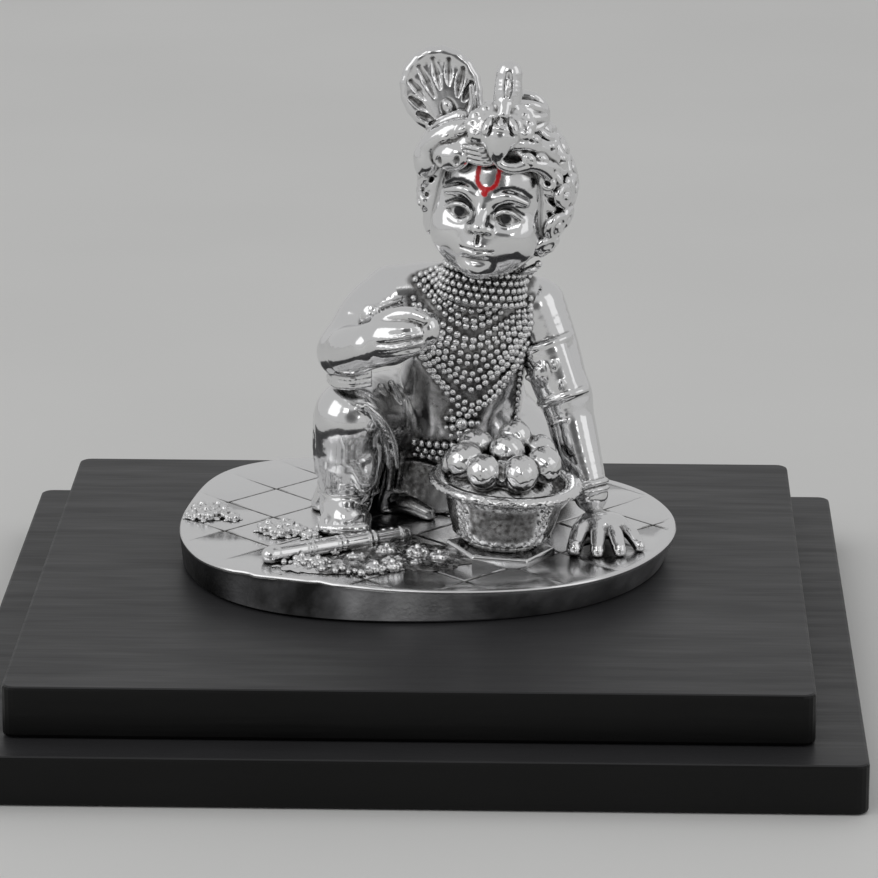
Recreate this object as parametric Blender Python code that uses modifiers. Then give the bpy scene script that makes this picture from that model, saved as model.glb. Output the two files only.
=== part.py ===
"""Laddu gopal: a small cast figure of the crawling child on an oval tiled base, on a two-tier plinth.

The child, the bowl of sweets and the oval base with its flute and flowers are three castings,
and the two boards of the plinth are separate. Metres, +Z up, the figure faces -Y.
The origin is at the middle of the plinth's underside.
"""
import math

import bmesh
import bpy
import numpy as np
from mathutils import Euler, Matrix, Vector

# Driving sizes of the plinth
PLINTH_LENGTH = 0.178
PLINTH_DEPTH = 0.172
LOWER_TIER_HEIGHT = 0.0100
UPPER_TIER_HEIGHT = 0.0106
TIER_LEDGE = 0.0100
TIER_CORNER_RADIUS = 0.0025
TIER_EDGE_RADIUS = 0.0006
SEAT_GAP = 0.0003

# Driving sizes of the oval base under the figure
OVAL_LENGTH = 0.1038
OVAL_DEPTH = 0.0898
OVAL_THICKNESS = 0.0067
OVAL_LEFT_TAPER = 0.0006
OVAL_RIGHT_TAPER = 0.0023
OVAL_FRONT_TAPER = 0.0003
OVAL_SHIFT_RIGHT = 0.0012
OVAL_SHIFT_BACK = 0.0098
OVAL_SIDES = 72

# Where the cast oval is fuller than an ellipse: angle, share of its half size, and width in degrees
TOP_SWELLINGS = ((130, 0.190, 24), (36, 0.015, 14), (198, 0.012, 14), (219, 0.062, 16), (246, -0.022, 13),
                 (305, 0.066, 26))
BOTTOM_SWELLINGS = ((130, 0.190, 24), (36, 0.015, 14), (233, 0.088, 30), (305, 0.030, 26))

# Driving sizes of the figure and of the bowl, which is set down in front of it
FIGURE_HEIGHT = 0.1028
BOWL_RIM_RADIUS = 0.0158
BOWL_FOOT_RADIUS = 0.0112
BOWL_HEIGHT = 0.0165
BOWL_LEAN_DEGREES = 4.0
LADDU_RADIUS = 0.0039
FLUTE_LENGTH = 0.0308
FLUTE_RADIUS = 0.0016
FLUTE_TURN_DEGREES = 30.0
FLOWER_RADIUS = 0.0042

# How far cast forms reach below the oval base's top before they are cut or joined to it
SINK = 0.0012

# The fineness of the castings' meshes
CASTING_VOXEL = 0.00075
SMOOTHING_ROUNDS = 3
CHILD_TRIANGLES = 7400
BOWL_TRIANGLES = 1500
TRIMMINGS_TRIANGLES = 1100

LOWER_TOP = LOWER_TIER_HEIGHT
UPPER_BOTTOM = LOWER_TOP + SEAT_GAP
UPPER_TOP = LOWER_TOP + UPPER_TIER_HEIGHT
OVAL_BOTTOM = UPPER_TOP + SEAT_GAP
OVAL_TOP = OVAL_BOTTOM + OVAL_THICKNESS

# The figure is modelled in shares: hundredths of its height to the tip of the feather,
# from the middle of the plinth and the oval base's top
SHARE = FIGURE_HEIGHT / 102.8

COLLECTION = "laddu_gopal_idol"
UNTURNED = Matrix.Identity(4)


def clear_scene():
    for thing in list(bpy.data.objects):
        bpy.data.objects.remove(thing)


def make_material(name, colour, metallic, roughness):
    material = bpy.data.materials.new(name)
    material.use_nodes = True
    shader = material.node_tree.nodes["Principled BSDF"]
    shader.inputs["Base Color"].default_value = (*colour, 1.0)
    shader.inputs["Metallic"].default_value = metallic
    shader.inputs["Roughness"].default_value = roughness
    return material


def make_object(name, shape, collection, material=None):
    mesh = bpy.data.meshes.new(name)
    shape.to_mesh(mesh)
    shape.free()
    thing = bpy.data.objects.new(name, mesh)
    collection.objects.link(thing)
    if material:
        mesh.materials.append(material)
    return thing


def frame_at(origin, turn_degrees):
    """The place of a part of the figure: an origin in shares and turns about X, Y and Z."""
    turn = Euler([math.radians(angle) for angle in turn_degrees]).to_matrix().to_4x4()
    return Matrix.Translation(origin) @ turn


class Clay:
    """Balls laid over one another, in one unit, to be fused into one skin."""

    def __init__(self):
        self.places = []

    def ball(self, at, radii, turn=(0, 0, 0), frame=UNTURNED):
        if not isinstance(radii, (tuple, list)):
            radii = (radii, radii, radii)
        self.places.append(frame @ frame_at(at, turn) @ Matrix.Diagonal((*radii, 1)))

    def limb(self, stations, frame=UNTURNED, steps=5):
        """A rope of balls along a smooth line through stations of x, y, z and radius."""
        for x, y, z, radius in smooth_line(stations, steps):
            self.ball((x, y, z), float(radius), frame=frame)

    def mesh(self, name, scale):
        """One mesh with a copy of the same icosphere at each ball's place."""
        unit = bmesh.new()
        bmesh.ops.create_icosphere(unit, subdivisions=3, radius=1)
        points = np.array([(*vertex.co, 1) for vertex in unit.verts])
        faces = np.array([[vertex.index for vertex in face.verts] for face in unit.faces])
        unit.free()
        places = np.array([np.array(place) for place in self.places])
        placed = np.einsum("bij,vj->bvi", places, points)[:, :, :3] * scale
        starts = np.arange(len(places)) * len(points)
        mesh = bpy.data.meshes.new(name)
        mesh.from_pydata(placed.reshape(-1, 3), [], (faces[None] + starts[:, None, None]).reshape(-1, 3))
        return mesh


def smooth_line(stations, steps):
    """Points on a Catmull-Rom curve through the stations."""
    known = np.array(stations, float)
    known = np.vstack([2 * known[0] - known[1], known, 2 * known[-1] - known[-2]])
    line = []
    for a, b, c, d in zip(known[:-3], known[1:-2], known[2:-1], known[3:]):
        for step in range(steps):
            t = step / steps
            line.append(0.5 * (2 * b + (c - a) * t + (2 * a - 5 * b + 4 * c - d) * t ** 2
                               + (3 * b - a - 3 * c + d) * t ** 3))
    line.append(known[-2])
    return line


# The trunk's main masses, from the hips to the chest: centre and radii in shares
TRUNK = (
    ((7.0, 30.0, 15.5), (14.5, 12.5, 11.5)),
    ((7.1, 24.0, 20.0), (13.4, 12.0, 12.5)),
    ((7.2, 18.0, 24.0), (12.6, 11.5, 13.5)),
    ((8.2, 14.5, 32.0), (13.0, 10.5, 13.0)),
    ((9.0, 11.5, 40.0), (14.0, 9.5, 11.5)),
)


def trunk_front(x, z):
    """Where the trunk's front lies at x and z, or None beside it."""
    found = None
    for centre, radii in TRUNK:
        rest = 1 - ((x - centre[0]) / radii[0]) ** 2 - ((z - centre[2]) / radii[2]) ** 2
        if rest > 0:
            y = centre[1] - radii[1] * math.sqrt(rest)
            found = y if found is None else min(found, y)
    return found


def add_trunk(clay):
    for centre, radii in TRUNK:
        clay.ball(centre, radii)
    clay.limb([(-6.2, 12.5, 48.4, 6.2), (1, 12.5, 49.4, 6.0), (9, 12.5, 49.4, 6.4), (17, 12.5, 48.4, 6.2),
               (23.4, 12.5, 46.2, 6.2)])
    clay.limb([(10, 9.5, 50, 7.2), (12.5, 7, 58, 7.0)])


def add_right_arm(clay):
    """The arm on the viewer's left: it rests on the knee and lifts a sweet."""
    clay.limb([(-6.2, 12.5, 48.4, 6.3), (-11.7, 9.0, 44.6, 5.7), (-16.3, 4.2, 38.5, 4.7)])
    clay.limb([(-16.3, 4.2, 38.5, 4.9), (-14.0, -2.4, 40.6, 5.2), (-10.2, -7.6, 43.0, 4.7)])
    clay.ball((-6.4, -10.2, 44.8), (5.4, 3.4, 5.0), turn=(0, 0, -25))
    clay.limb([(-6.0, -11.2, 45.2, 4.2), (-1.6, -12.6, 46.4, 3.7), (1.8, -12.2, 47.2, 2.7)])
    clay.limb([(-8.0, -8.8, 48.6, 1.8), (-4.0, -10.6, 50.4, 1.7), (0.0, -11.6, 50.6, 1.6),
               (2.8, -11.8, 49.2, 1.3)])
    clay.ball((2.4, -10.8, 47.2), 3.2)
    clay.limb([(-13.4, 2.4, 46.6, 1.0), (-10.4, 1.8, 47.6, 1.2), (-6.4, 3.8, 49.0, 1.0)])
    clay.limb([(-19.8, 4.6, 34.0, 1.2), (-15.6, -0.6, 34.4, 1.4), (-10.6, 0.2, 34.6, 1.2)])


def add_left_arm(clay):
    """The arm on the viewer's right: it holds the child up, with the hand flat on the floor."""
    clay.limb([(23.4, 12.5, 46.2, 6.3), (27.0, 11, 37.6, 5.5), (29.8, 8.5, 28, 5.1)])
    clay.limb([(29.8, 8.5, 28, 5.1), (32, 6, 19, 4.8), (35.2, 2.5, 8.5, 3.6)])
    clay.ball((37.6, -2.0, 4.0), (4.6, 5.0, 2.8), turn=(-22, 0, 14))
    for root, tip, radius in (((34.6, -1.6, 4.2), (31.8, -11.6, 1.2), 1.7),
                              ((37.0, -4.5, 4.2), (37.6, -12.4, 1.0), 1.45),
                              ((39.2, -4.6, 4.0), (41.6, -11.9, 1.0), 1.45),
                              ((41.2, -2.6, 3.4), (45.0, -8.4, 1.0), 1.3)):
        middle = [(a + b) / 2 for a, b in zip(root, tip)]
        knuckle = (middle[0], middle[1] - 0.4, middle[2] + 0.9, radius)
        clay.limb([(*root, radius), knuckle, (*tip, radius * 0.9)])
    clay.ball((26.0, 6.2, 37.4), (2.3, 1.5, 2.9), turn=(-8, 0, 10))
    for height in (40.6, 33.8):
        clay.limb([(21.7, 7.4, height, 0.9), (23.8, 5.4, height - 0.3, 0.9), (28.0, 5.0, height - 0.6, 0.9),
                   (32.6, 7.6, height, 0.9)])


def add_legs(clay):
    """The knee on the viewer's left is raised, the other one kneels behind the bowl."""
    clay.limb([(1.5, 29, 17.5, 11), (-8, 17, 21.5, 9), (-14.6, 5.5, 24, 7.3)])
    clay.limb([(-14.6, 5.5, 24, 7.3), (-15, 7.5, 15.5, 7.4), (-15.8, 10.5, 6.5, 5.8)])
    clay.ball((-16.4, 8.0, 3.4), (5.4, 9.2, 4.4), turn=(0, 0, 6))
    for toe in range(5):
        forward = 0.2 + 0.7 * math.sin(math.pi * toe / 4)
        clay.ball((-20.2 + 2.0 * toe, -forward, 1.8), 1.35 + 0.12 * toe)
    clay.limb([(-21.2, 9.8, 8.4, 0.9), (-18.8, 5.0, 8.0, 0.9), (-13.2, 4.8, 8.0, 0.9),
               (-10.4, 9.5, 8.4, 0.9)])
    clay.limb([(14, 30, 15, 10.5), (20, 21, 12, 9.2), (23.5, 13.5, 8.5, 8)])
    clay.limb([(23.5, 13.5, 8, 7.6), (26, 26, 6.5, 6.6), (25, 38, 4.5, 4.4)])
    clay.ball((24, 42, 3), (4.6, 7.0, 3.4), turn=(0, 0, 8))


def add_drapery(clay):
    """The cloth round the hips, its flare behind the raised leg and the folds between the legs."""
    for fold in range(5):
        across, back = 2.0 * fold, 3.6 * fold
        clay.limb([(-11 + across, 13 + back, 22 - 0.6 * fold, 5.2), (-16 + across, 17 + back, 12, 4.8),
                   (-20 + across, 19 + back, 1, 4.4)])
    for fold in range(5):
        x = -7.5 + 3.4 * fold
        clay.limb([(x + 2.2, 17.5 - 0.5 * fold, 17, 2.2), (x + 0.8, 20, 9, 2.1), (x - 0.4, 17.5, 0.5, 2.5)])
    clay.ball((4, 27, 8), (15, 10, 11))
    clay.limb([(-7.5, 17.5, 1.2, 1.6), (-3.5, 13.5, 2.6, 2.0), (1.0, 11.5, 1.2, 1.7)])
    for offset in (0.0, 2.2):
        clay.limb([(-8.6 + offset, 5.5 + offset, 31, 1.1), (-6.4 + offset, 7.5 + offset, 25, 1.1),
                   (-6.4 + offset, 10.5 + offset, 16, 1.1), (-7.5 + offset, 14.5 + offset, 6, 1.1)])
    waist = frame_at((7.2, 25.5, 20.5), (37, 0, 0))
    clay.limb([(13.4 * math.cos(turn), 13.0 * math.sin(turn), 0, 1.5) for turn in full_turn(16)], frame=waist)
    for fold in range(9):
        way = math.radians(-20 + 27.5 * fold)
        out, back = math.cos(way), math.sin(way)
        clay.limb([(7 + 11.5 * out, 30 + 9.9 * back, 21.5, 1.3), (7 + 14.4 * out, 30 + 12.4 * back, 15, 1.5),
                   (7 + 13.4 * out, 30 + 11.5 * back, 9, 1.3)])


def full_turn(parts):
    """Angles all the way round, the first one again at the end."""
    return [2 * math.pi * part / parts for part in range(parts + 1)]


def add_necklaces(clay):
    """The strings of beads, as low ropes on the chest, a pendant, and the girdle."""
    for top, drop, half in ((50.0, 10.0, 10.5), (49.0, 14.0, 12.5), (48.0, 19.0, 12.2), (43.0, 20.5, 12.6)):
        string = []
        for step in range(9):
            across = step / 4 - 1
            x = 9.5 + half * across
            z = top - drop * (1 - across * across)
            y = trunk_front(x, z)
            if y is not None:
                string.append((x, y, z, 1.0))
        clay.limb(string)
    clay.ball((8.4, trunk_front(8.4, 21.0), 21.0), (2.2, 1.8, 2.8))
    for row in range(2):
        girdle = []
        for step in range(6):
            x = -4.0 + 2.4 * step
            z = 16.6 - 2.4 * row + 0.2 * step
            girdle.append((x, trunk_front(x, z), z, 1.2))
        clay.limb(girdle)
    for drop in (0.0, 2.0):
        half_drop = drop / 2
        clay.limb([(2.4 - drop, 5.5, 55.0 - drop, 1.3), (6.0 - half_drop, 1.8 - half_drop, 54.0 - drop, 1.4),
                   (12.0, -0.2 - half_drop, 53.4 - drop, 1.4),
                   (18.0 + half_drop, 1.8 - half_drop, 54.0 - drop, 1.4), (21.4 + drop, 6.0, 55.0 - drop, 1.3)])


# The head's middle and its turns: a little up, over to one side and towards the raised hand
HEAD = frame_at((15.0, 5.0, 72.3), (-6, 7, -10))


def add_head(clay):
    """A calm child's face on plain proportions, in the head's own frame."""
    clay.ball((0, 1.5, 2.5), (13.2, 14.0, 13.6), frame=HEAD)
    clay.ball((-0.4, -2.2, -4.8), (11.6, 11.2, 10.4), frame=HEAD)
    clay.ball((-0.4, -6.8, -13.2), (6.2, 5.0, 3.8), frame=HEAD)
    for side in (-1, 1):
        clay.ball((6.2 * side, -7.4, -8.2), (5.2, 4.8, 5.2), frame=HEAD)
        clay.ball((4.9 * side, -11.6, 0.4), (3.0, 1.3, 1.8), turn=(0, 0, 16 * side), frame=HEAD)
        clay.ball((4.9 * side, -11.2, 3.2), (4.2, 1.3, 1.0), turn=(0, 0, 14 * side), frame=HEAD)
        clay.limb([(12.0 * side, -0.5, -2.0, 1.8), (13.4 * side, 0.4, -5.0, 2.0),
                   (12.6 * side, -0.6, -9.4, 1.8)], frame=HEAD)
    clay.limb([(0, -12.2, 1.2, 1.2), (0, -13.4, -2.4, 1.4), (0, -14.2, -5.0, 1.9)], frame=HEAD)
    clay.ball((0, -13.0, -9.2), (3.0, 1.4, 1.6), frame=HEAD)


def add_hair(clay):
    """Rows of round curls over the head, left open at the face."""
    for row in range(8):
        lift = math.radians(-52 + 19 * row)
        count = max(3, round(14 * math.cos(lift)))
        for place in range(count):
            around = 2 * math.pi * (place + 0.5 * (row % 2)) / count
            side = math.sin(around) * math.cos(lift)
            back = math.cos(around) * math.cos(lift)
            up = math.sin(lift)
            on_face = back < -0.25 and up < 0.62 and abs(side) < 0.80
            if on_face or (back < -0.55 and up < 0.45):
                continue
            clay.ball((14.0 * side, 1.5 + 14.0 * back, 1.5 + 14.4 * up), 3.5, frame=HEAD)


def add_headdress(clay):
    """The brooch with its upright petal, the locks beside it, the knot of hair and the feather."""
    clay.ball((16.4, -5.2, 88.4), (7.4, 4.0, 4.8), turn=(-26, 0, 0))
    clay.limb([(16.0, -7.0, 86.0, 2.8), (15.6, -8.0, 83.4, 1.8)])
    clay.limb([(17.4, -5.0, 91.4, 3.2), (17.8, -4.2, 95.2, 2.8), (17.9, -3.2, 98.4, 2.6)])
    clay.limb([(2.6, -0.8, 81.0, 3.0), (5.4, -4.0, 83.2, 3.0), (9.4, -6.0, 83.6, 2.6)])
    clay.limb([(10.0, -7.2, 82.0, 1.5), (12.4, -7.8, 81.8, 1.6), (15.0, -7.8, 81.6, 1.5)])
    clay.limb([(17.4, -7.4, 81.2, 2.2), (20.6, -6.8, 83.2, 2.6), (24.4, -4.8, 82.0, 3.0),
               (27.8, -1.4, 78.4, 2.8)])
    clay.limb([(18.6, 2.2, 88.4, 4.4), (21.4, 5.4, 89.2, 4.8), (22.0, 9.0, 88.0, 4.4)])
    clay.limb([(16.0, 4.0, 87.0, 5.0), (9.0, 4.0, 87.5, 4.0), (6.0, 2.0, 86.0, 3.0)])
    root = Vector((7.0, 1.8, 87.6))
    for rib in range(8):
        lean = math.radians(-84 + 14 * rib)
        reach = 7.4 + 6.6 * math.cos(1.6 * (lean + math.radians(28)))
        way = Vector((math.sin(lean), 0.16, math.cos(lean))).normalized()
        clay.limb([(*root, 1.8), (*(root + way * reach * 0.5), 1.6), (*(root + way * reach), 1.7)])


# The bowl's axis on the oval base, in the figure's shares
BOWL_AT = (16.6, -11.0)


def bowl_profile():
    """Radius and height from the foot's underside to the rim, for a solid of revolution."""
    rim, foot, height = BOWL_RIM_RADIUS, BOWL_FOOT_RADIUS, BOWL_HEIGHT
    return ((0, -SINK), (foot, -SINK), (foot, 0.11 * height), (0.86 * foot, 0.16 * height),
            (0.65 * foot, 0.19 * height), (0.70 * foot, 0.22 * height), (0.62 * rim, 0.28 * height),
            (0.70 * rim, 0.46 * height), (0.76 * rim, 0.68 * height), (0.80 * rim, 0.81 * height),
            (0.96 * rim, 0.89 * height), (rim, 0.94 * height), (0.99 * rim, height),
            (0.84 * rim, height), (0.80 * rim, 0.96 * height), (0, 0.98 * height))


def turned_mesh(name, profile, place):
    """A profile of radius and height turned about its axis by a Screw modifier."""
    shape = bmesh.new()
    line = [shape.verts.new((radius, 0, height)) for radius, height in reversed(profile)]
    for first, second in zip(line[:-1], line[1:]):
        shape.edges.new((first, second))
    turned = make_object(name, shape, bpy.context.scene.collection)
    turned.matrix_world = place
    screw = turned.modifiers.new("turn", "SCREW")
    screw.steps = screw.render_steps = 40
    screw.use_merge_vertices = True
    screw.merge_threshold = 0.00005
    mesh = evaluated_copy(turned)
    mesh.transform(place)
    bpy.data.objects.remove(turned)
    return mesh


def bowl_place():
    return frame_at((BOWL_AT[0] * SHARE, BOWL_AT[1] * SHARE, 0), (0, BOWL_LEAN_DEGREES, 0))


def add_laddus(clay):
    """The heap of round sweets: a ring of six inside the rim, and three on top."""
    place = bowl_place()
    for ring, count, lift, start in ((0.55, 6, 1.17, 0.45), (0.30, 3, 1.44, 0.12)):
        for sweet in range(count):
            around = 2 * math.pi * (sweet + start) / count
            at = (ring * BOWL_RIM_RADIUS * math.sin(around), -ring * BOWL_RIM_RADIUS * math.cos(around))
            clay.ball((*at, lift * BOWL_HEIGHT), LADDU_RADIUS, frame=place)
    clay.ball((0, 0, 1.02 * BOWL_HEIGHT), 0.42 * BOWL_RIM_RADIUS, frame=place)


def on_oval(across, back, lift=0.0):
    """A point on the oval base, from shares of its half length and half depth."""
    return Vector((OVAL_SHIFT_RIGHT + across * OVAL_LENGTH / 2,
                   OVAL_SHIFT_BACK + back * OVAL_DEPTH / 2, lift))


def add_flute(clay):
    low_end = on_oval(-0.605, -0.625, 0.9 * FLUTE_RADIUS)
    way = Vector((math.cos(math.radians(FLUTE_TURN_DEGREES)), math.sin(math.radians(FLUTE_TURN_DEGREES)), 0))
    clay.limb([(*(low_end + way * FLUTE_LENGTH * step / 4), FLUTE_RADIUS) for step in range(5)], steps=8)
    for band in (0.30, 0.52, 0.74):
        clay.ball(low_end + way * FLUTE_LENGTH * band, 1.25 * FLUTE_RADIUS)
    clay.ball(low_end, 1.5 * FLUTE_RADIUS)


def add_flower(clay, middle, radius):
    for petal in range(6):
        around = 2 * math.pi * petal / 6
        reach = Vector((math.cos(around), math.sin(around), 0)) * 0.6 * radius
        clay.ball(middle + reach, (0.44 * radius, 0.44 * radius, 0.30 * radius))
    clay.ball(middle, (0.34 * radius, 0.34 * radius, 0.44 * radius))


# Each flower's place on the oval base, and its size as a share of the largest
FLOWERS = (
    (-0.905, 0.085, 1.0),
    (-0.582, -0.150, 1.0),
    (-0.152, -0.665, 0.9),
    (0.025, -0.645, 0.8),
)


def add_flowers(clay):
    for across, back, size in FLOWERS:
        add_flower(clay, on_oval(across, back), size * FLOWER_RADIUS)
    for bead in range(6):
        spot = on_oval(-0.52 + 0.055 * bead, -0.640 - 0.008 * bead)
        clay.ball(spot, 0.3 * FLOWER_RADIUS)


def keep_largest_skin(shape):
    """Removes the sealed bubbles that fused balls leave inside."""
    unseen = set(shape.verts)
    skins = []
    while unseen:
        start = unseen.pop()
        skin = [start]
        queue = [start]
        while queue:
            for edge in queue.pop().link_edges:
                for vertex in edge.verts:
                    if vertex in unseen:
                        unseen.remove(vertex)
                        skin.append(vertex)
                        queue.append(vertex)
        skins.append(skin)
    skins.sort(key=len)
    for skin in skins[:-1]:
        bmesh.ops.delete(shape, geom=skin, context="VERTS")


def evaluated_copy(thing):
    graph = bpy.context.evaluated_depsgraph_get()
    graph.update()
    return bpy.data.meshes.new_from_object(thing.evaluated_get(graph))


def raw_child():
    """The child as crossing closed shapes, from the oval base's top up."""
    clay = Clay()
    for add in (add_trunk, add_right_arm, add_left_arm, add_legs, add_drapery, add_necklaces,
                add_head, add_hair, add_headdress):
        add(clay)
    shape = bmesh.new()
    shape.from_mesh(clay.mesh("child_clay", SHARE))
    return shape


def raw_bowl():
    """The turned bowl and its heap of sweets, from the oval base's top up."""
    clay = Clay()
    add_laddus(clay)
    shape = bmesh.new()
    shape.from_mesh(clay.mesh("laddu_clay", 1.0))
    shape.from_mesh(turned_mesh("bowl_clay", bowl_profile(), bowl_place()))
    return shape


def raw_trimmings():
    """The flute and the flowers, on a slab inside the oval base that joins them."""
    clay = Clay()
    add_flute(clay)
    add_flowers(clay)
    shape = bmesh.new()
    shape.from_mesh(clay.mesh("trimmings_clay", 1.0))
    inset = 2 * OVAL_RIGHT_TAPER
    slab = Matrix.Translation((OVAL_SHIFT_RIGHT, OVAL_SHIFT_BACK, -OVAL_THICKNESS / 2))
    slab = slab @ Matrix.Diagonal((OVAL_LENGTH / 2 - inset, OVAL_DEPTH / 2 - inset, 1, 1))
    bmesh.ops.create_cone(shape, cap_ends=True, segments=OVAL_SIDES, radius1=1, radius2=1,
                          depth=OVAL_THICKNESS - 2 * SINK, matrix=slab)
    return shape


def make_skin(name, shape, triangles, collection, material):
    """Crossing shapes fused into one skin, smoothed and thinned to a number of triangles."""
    shape.transform(Matrix.Translation((0, 0, OVAL_TOP)))
    raw = make_object(name + "_raw", shape, collection)
    fuse = raw.modifiers.new("fuse", "REMESH")
    fuse.mode = "VOXEL"
    fuse.voxel_size = CASTING_VOXEL
    smooth = raw.modifiers.new("smooth", "SMOOTH")
    smooth.factor = 0.5
    smooth.iterations = SMOOTHING_ROUNDS
    shape = bmesh.new()
    shape.from_mesh(evaluated_copy(raw))
    bpy.data.objects.remove(raw)
    keep_largest_skin(shape)
    fused_triangles = sum(len(face.verts) - 2 for face in shape.faces)
    skin = make_object(name, shape, collection, material)
    thin = skin.modifiers.new("thin", "DECIMATE")
    thin.ratio = triangles / fused_triangles
    return skin


def use_boolean(thing, operation, other):
    """Cuts or joins a thing with another one, which is then only a guide."""
    step = thing.modifiers.new(operation.lower(), "BOOLEAN")
    step.operation = operation
    step.object = other
    other.hide_render = True
    other.display_type = "WIRE"


def make_seat_cutter(cutters):
    """The room below the seat of what stands on the oval base."""
    shape = bmesh.new()
    bmesh.ops.create_cube(shape, size=1)
    shape.transform(Matrix.Diagonal((OVAL_LENGTH, 2 * OVAL_DEPTH, OVAL_THICKNESS, 1)))
    cutter = make_object("seat_cutter", shape, cutters)
    cutter.location = (OVAL_SHIFT_RIGHT, OVAL_SHIFT_BACK, OVAL_TOP + SEAT_GAP - OVAL_THICKNESS / 2)
    return cutter


def swell(vertices, swellings):
    """Moves a circle's points outwards where the oval is fuller than an ellipse."""
    for vertex in vertices:
        angle = math.degrees(math.atan2(vertex.co.y, vertex.co.x)) % 360
        fuller = sum(share * math.exp(-((angle - middle) / width) ** 2) for middle, share, width in swellings)
        vertex.co *= 1 + fuller


def oval_prism():
    """The oval base on its own, a little wider at the top than at the bottom."""
    shape = bmesh.new()
    made = bmesh.ops.create_circle(shape, cap_ends=True, segments=OVAL_SIDES, radius=1)
    bottom = Matrix.Translation(((OVAL_LEFT_TAPER - OVAL_RIGHT_TAPER) / 2, 0, 0))
    bottom = bottom @ Matrix.Diagonal(((OVAL_LENGTH - OVAL_LEFT_TAPER - OVAL_RIGHT_TAPER) / 2,
                                       OVAL_DEPTH / 2 - OVAL_FRONT_TAPER, 1, 1))
    top = Matrix.Translation((0, 0, OVAL_THICKNESS))
    top = top @ Matrix.Diagonal((OVAL_LENGTH / 2, OVAL_DEPTH / 2, 1, 1))
    raised = bmesh.ops.extrude_face_region(shape, geom=shape.faces[:])
    raised = [item for item in raised["geom"] if isinstance(item, bmesh.types.BMVert)]
    swell(made["verts"], BOTTOM_SWELLINGS)
    swell(raised, TOP_SWELLINGS)
    bmesh.ops.transform(shape, matrix=bottom, verts=made["verts"])
    bmesh.ops.transform(shape, matrix=top, verts=raised)
    bmesh.ops.recalc_face_normals(shape, faces=shape.faces[:])
    shape.transform(Matrix.Translation((OVAL_SHIFT_RIGHT, OVAL_SHIFT_BACK, OVAL_BOTTOM)))
    return shape


def make_castings(collection, cutters, silver):
    """The oval base with its trimmings, and the child and the bowl, cut flat to stand on it."""
    oval = make_object("oval_base", oval_prism(), collection, silver)
    use_boolean(oval, "UNION", make_skin("trimmings", raw_trimmings(), TRIMMINGS_TRIANGLES, cutters, silver))
    seat_cutter = make_seat_cutter(cutters)
    for name, shape, triangles in (("idol", raw_child(), CHILD_TRIANGLES),
                                   ("offering_bowl", raw_bowl(), BOWL_TRIANGLES)):
        use_boolean(make_skin(name, shape, triangles, collection, silver), "DIFFERENCE", seat_cutter)


def make_tier(name, length, depth, bottom, height, collection, material):
    """A board with rounded upright corners and softly broken edges."""
    shape = bmesh.new()
    bmesh.ops.create_cube(shape, size=1)
    shape.transform(Matrix.Diagonal((length, depth, height, 1)))
    upright = [edge for edge in shape.edges if abs(edge.verts[0].co.z - edge.verts[1].co.z) > height / 2]
    bmesh.ops.bevel(shape, geom=upright, offset=TIER_CORNER_RADIUS, segments=4, profile=0.5, affect="EDGES")
    board = make_object(name, shape, collection, material)
    board.location = (0, 0, bottom + height / 2)
    edges = board.modifiers.new("edges", "BEVEL")
    edges.width = TIER_EDGE_RADIUS
    edges.segments = 2
    edges.limit_method = "ANGLE"
    edges.angle_limit = math.radians(40)


def main():
    clear_scene()
    collection = bpy.data.collections.new(COLLECTION)
    cutters = bpy.data.collections.new("cutters")
    bpy.context.scene.collection.children.link(collection)
    bpy.context.scene.collection.children.link(cutters)
    silver = make_material("silver", (0.78, 0.77, 0.75), 1.0, 0.12)
    lacquer = make_material("black_lacquer", (0.012, 0.012, 0.012), 0.0, 0.22)
    make_tier("plinth_lower_tier", PLINTH_LENGTH, PLINTH_DEPTH, 0, LOWER_TIER_HEIGHT, collection, lacquer)
    make_tier("plinth_upper_tier", PLINTH_LENGTH - 2 * TIER_LEDGE, PLINTH_DEPTH - 2 * TIER_LEDGE,
              UPPER_BOTTOM, UPPER_TOP - UPPER_BOTTOM, collection, lacquer)
    make_castings(collection, cutters, silver)


main()
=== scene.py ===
"""Looks of the laddu gopal idol: a polished silver child with a bowl of sweets on an oval tiled base.

Shapes are worked out in millimetres, with heights from the oval base's top, in the frame of the CAD.
"""
import math

import bmesh
import bpy
import numpy as np
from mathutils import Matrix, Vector, kdtree


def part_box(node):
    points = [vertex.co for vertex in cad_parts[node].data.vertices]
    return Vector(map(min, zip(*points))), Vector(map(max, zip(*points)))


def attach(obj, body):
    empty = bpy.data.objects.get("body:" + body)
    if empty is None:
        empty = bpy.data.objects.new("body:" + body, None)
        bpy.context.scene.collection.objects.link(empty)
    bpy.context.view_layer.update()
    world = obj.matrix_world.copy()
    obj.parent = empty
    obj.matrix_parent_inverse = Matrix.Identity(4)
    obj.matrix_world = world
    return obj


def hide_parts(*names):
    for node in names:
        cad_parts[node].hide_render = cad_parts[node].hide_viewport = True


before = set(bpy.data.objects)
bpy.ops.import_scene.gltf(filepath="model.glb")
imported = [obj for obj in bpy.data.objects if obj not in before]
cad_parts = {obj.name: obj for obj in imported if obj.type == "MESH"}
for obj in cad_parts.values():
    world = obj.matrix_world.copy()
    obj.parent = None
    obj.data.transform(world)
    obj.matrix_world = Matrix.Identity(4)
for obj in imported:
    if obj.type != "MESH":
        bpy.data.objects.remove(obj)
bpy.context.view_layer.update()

MM = 0.001
SEAT_GAP = 0.3
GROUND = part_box("idol")[0][2] / MM - SEAT_GAP
# What a clay's field holds far from its surface, and the least radius of a rope
FAR = 50.0
THINNEST = 0.05


# Directions, turns and smooth lines


def unit(way):
    way = np.asarray(way, float)
    return way / np.linalg.norm(way)


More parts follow.
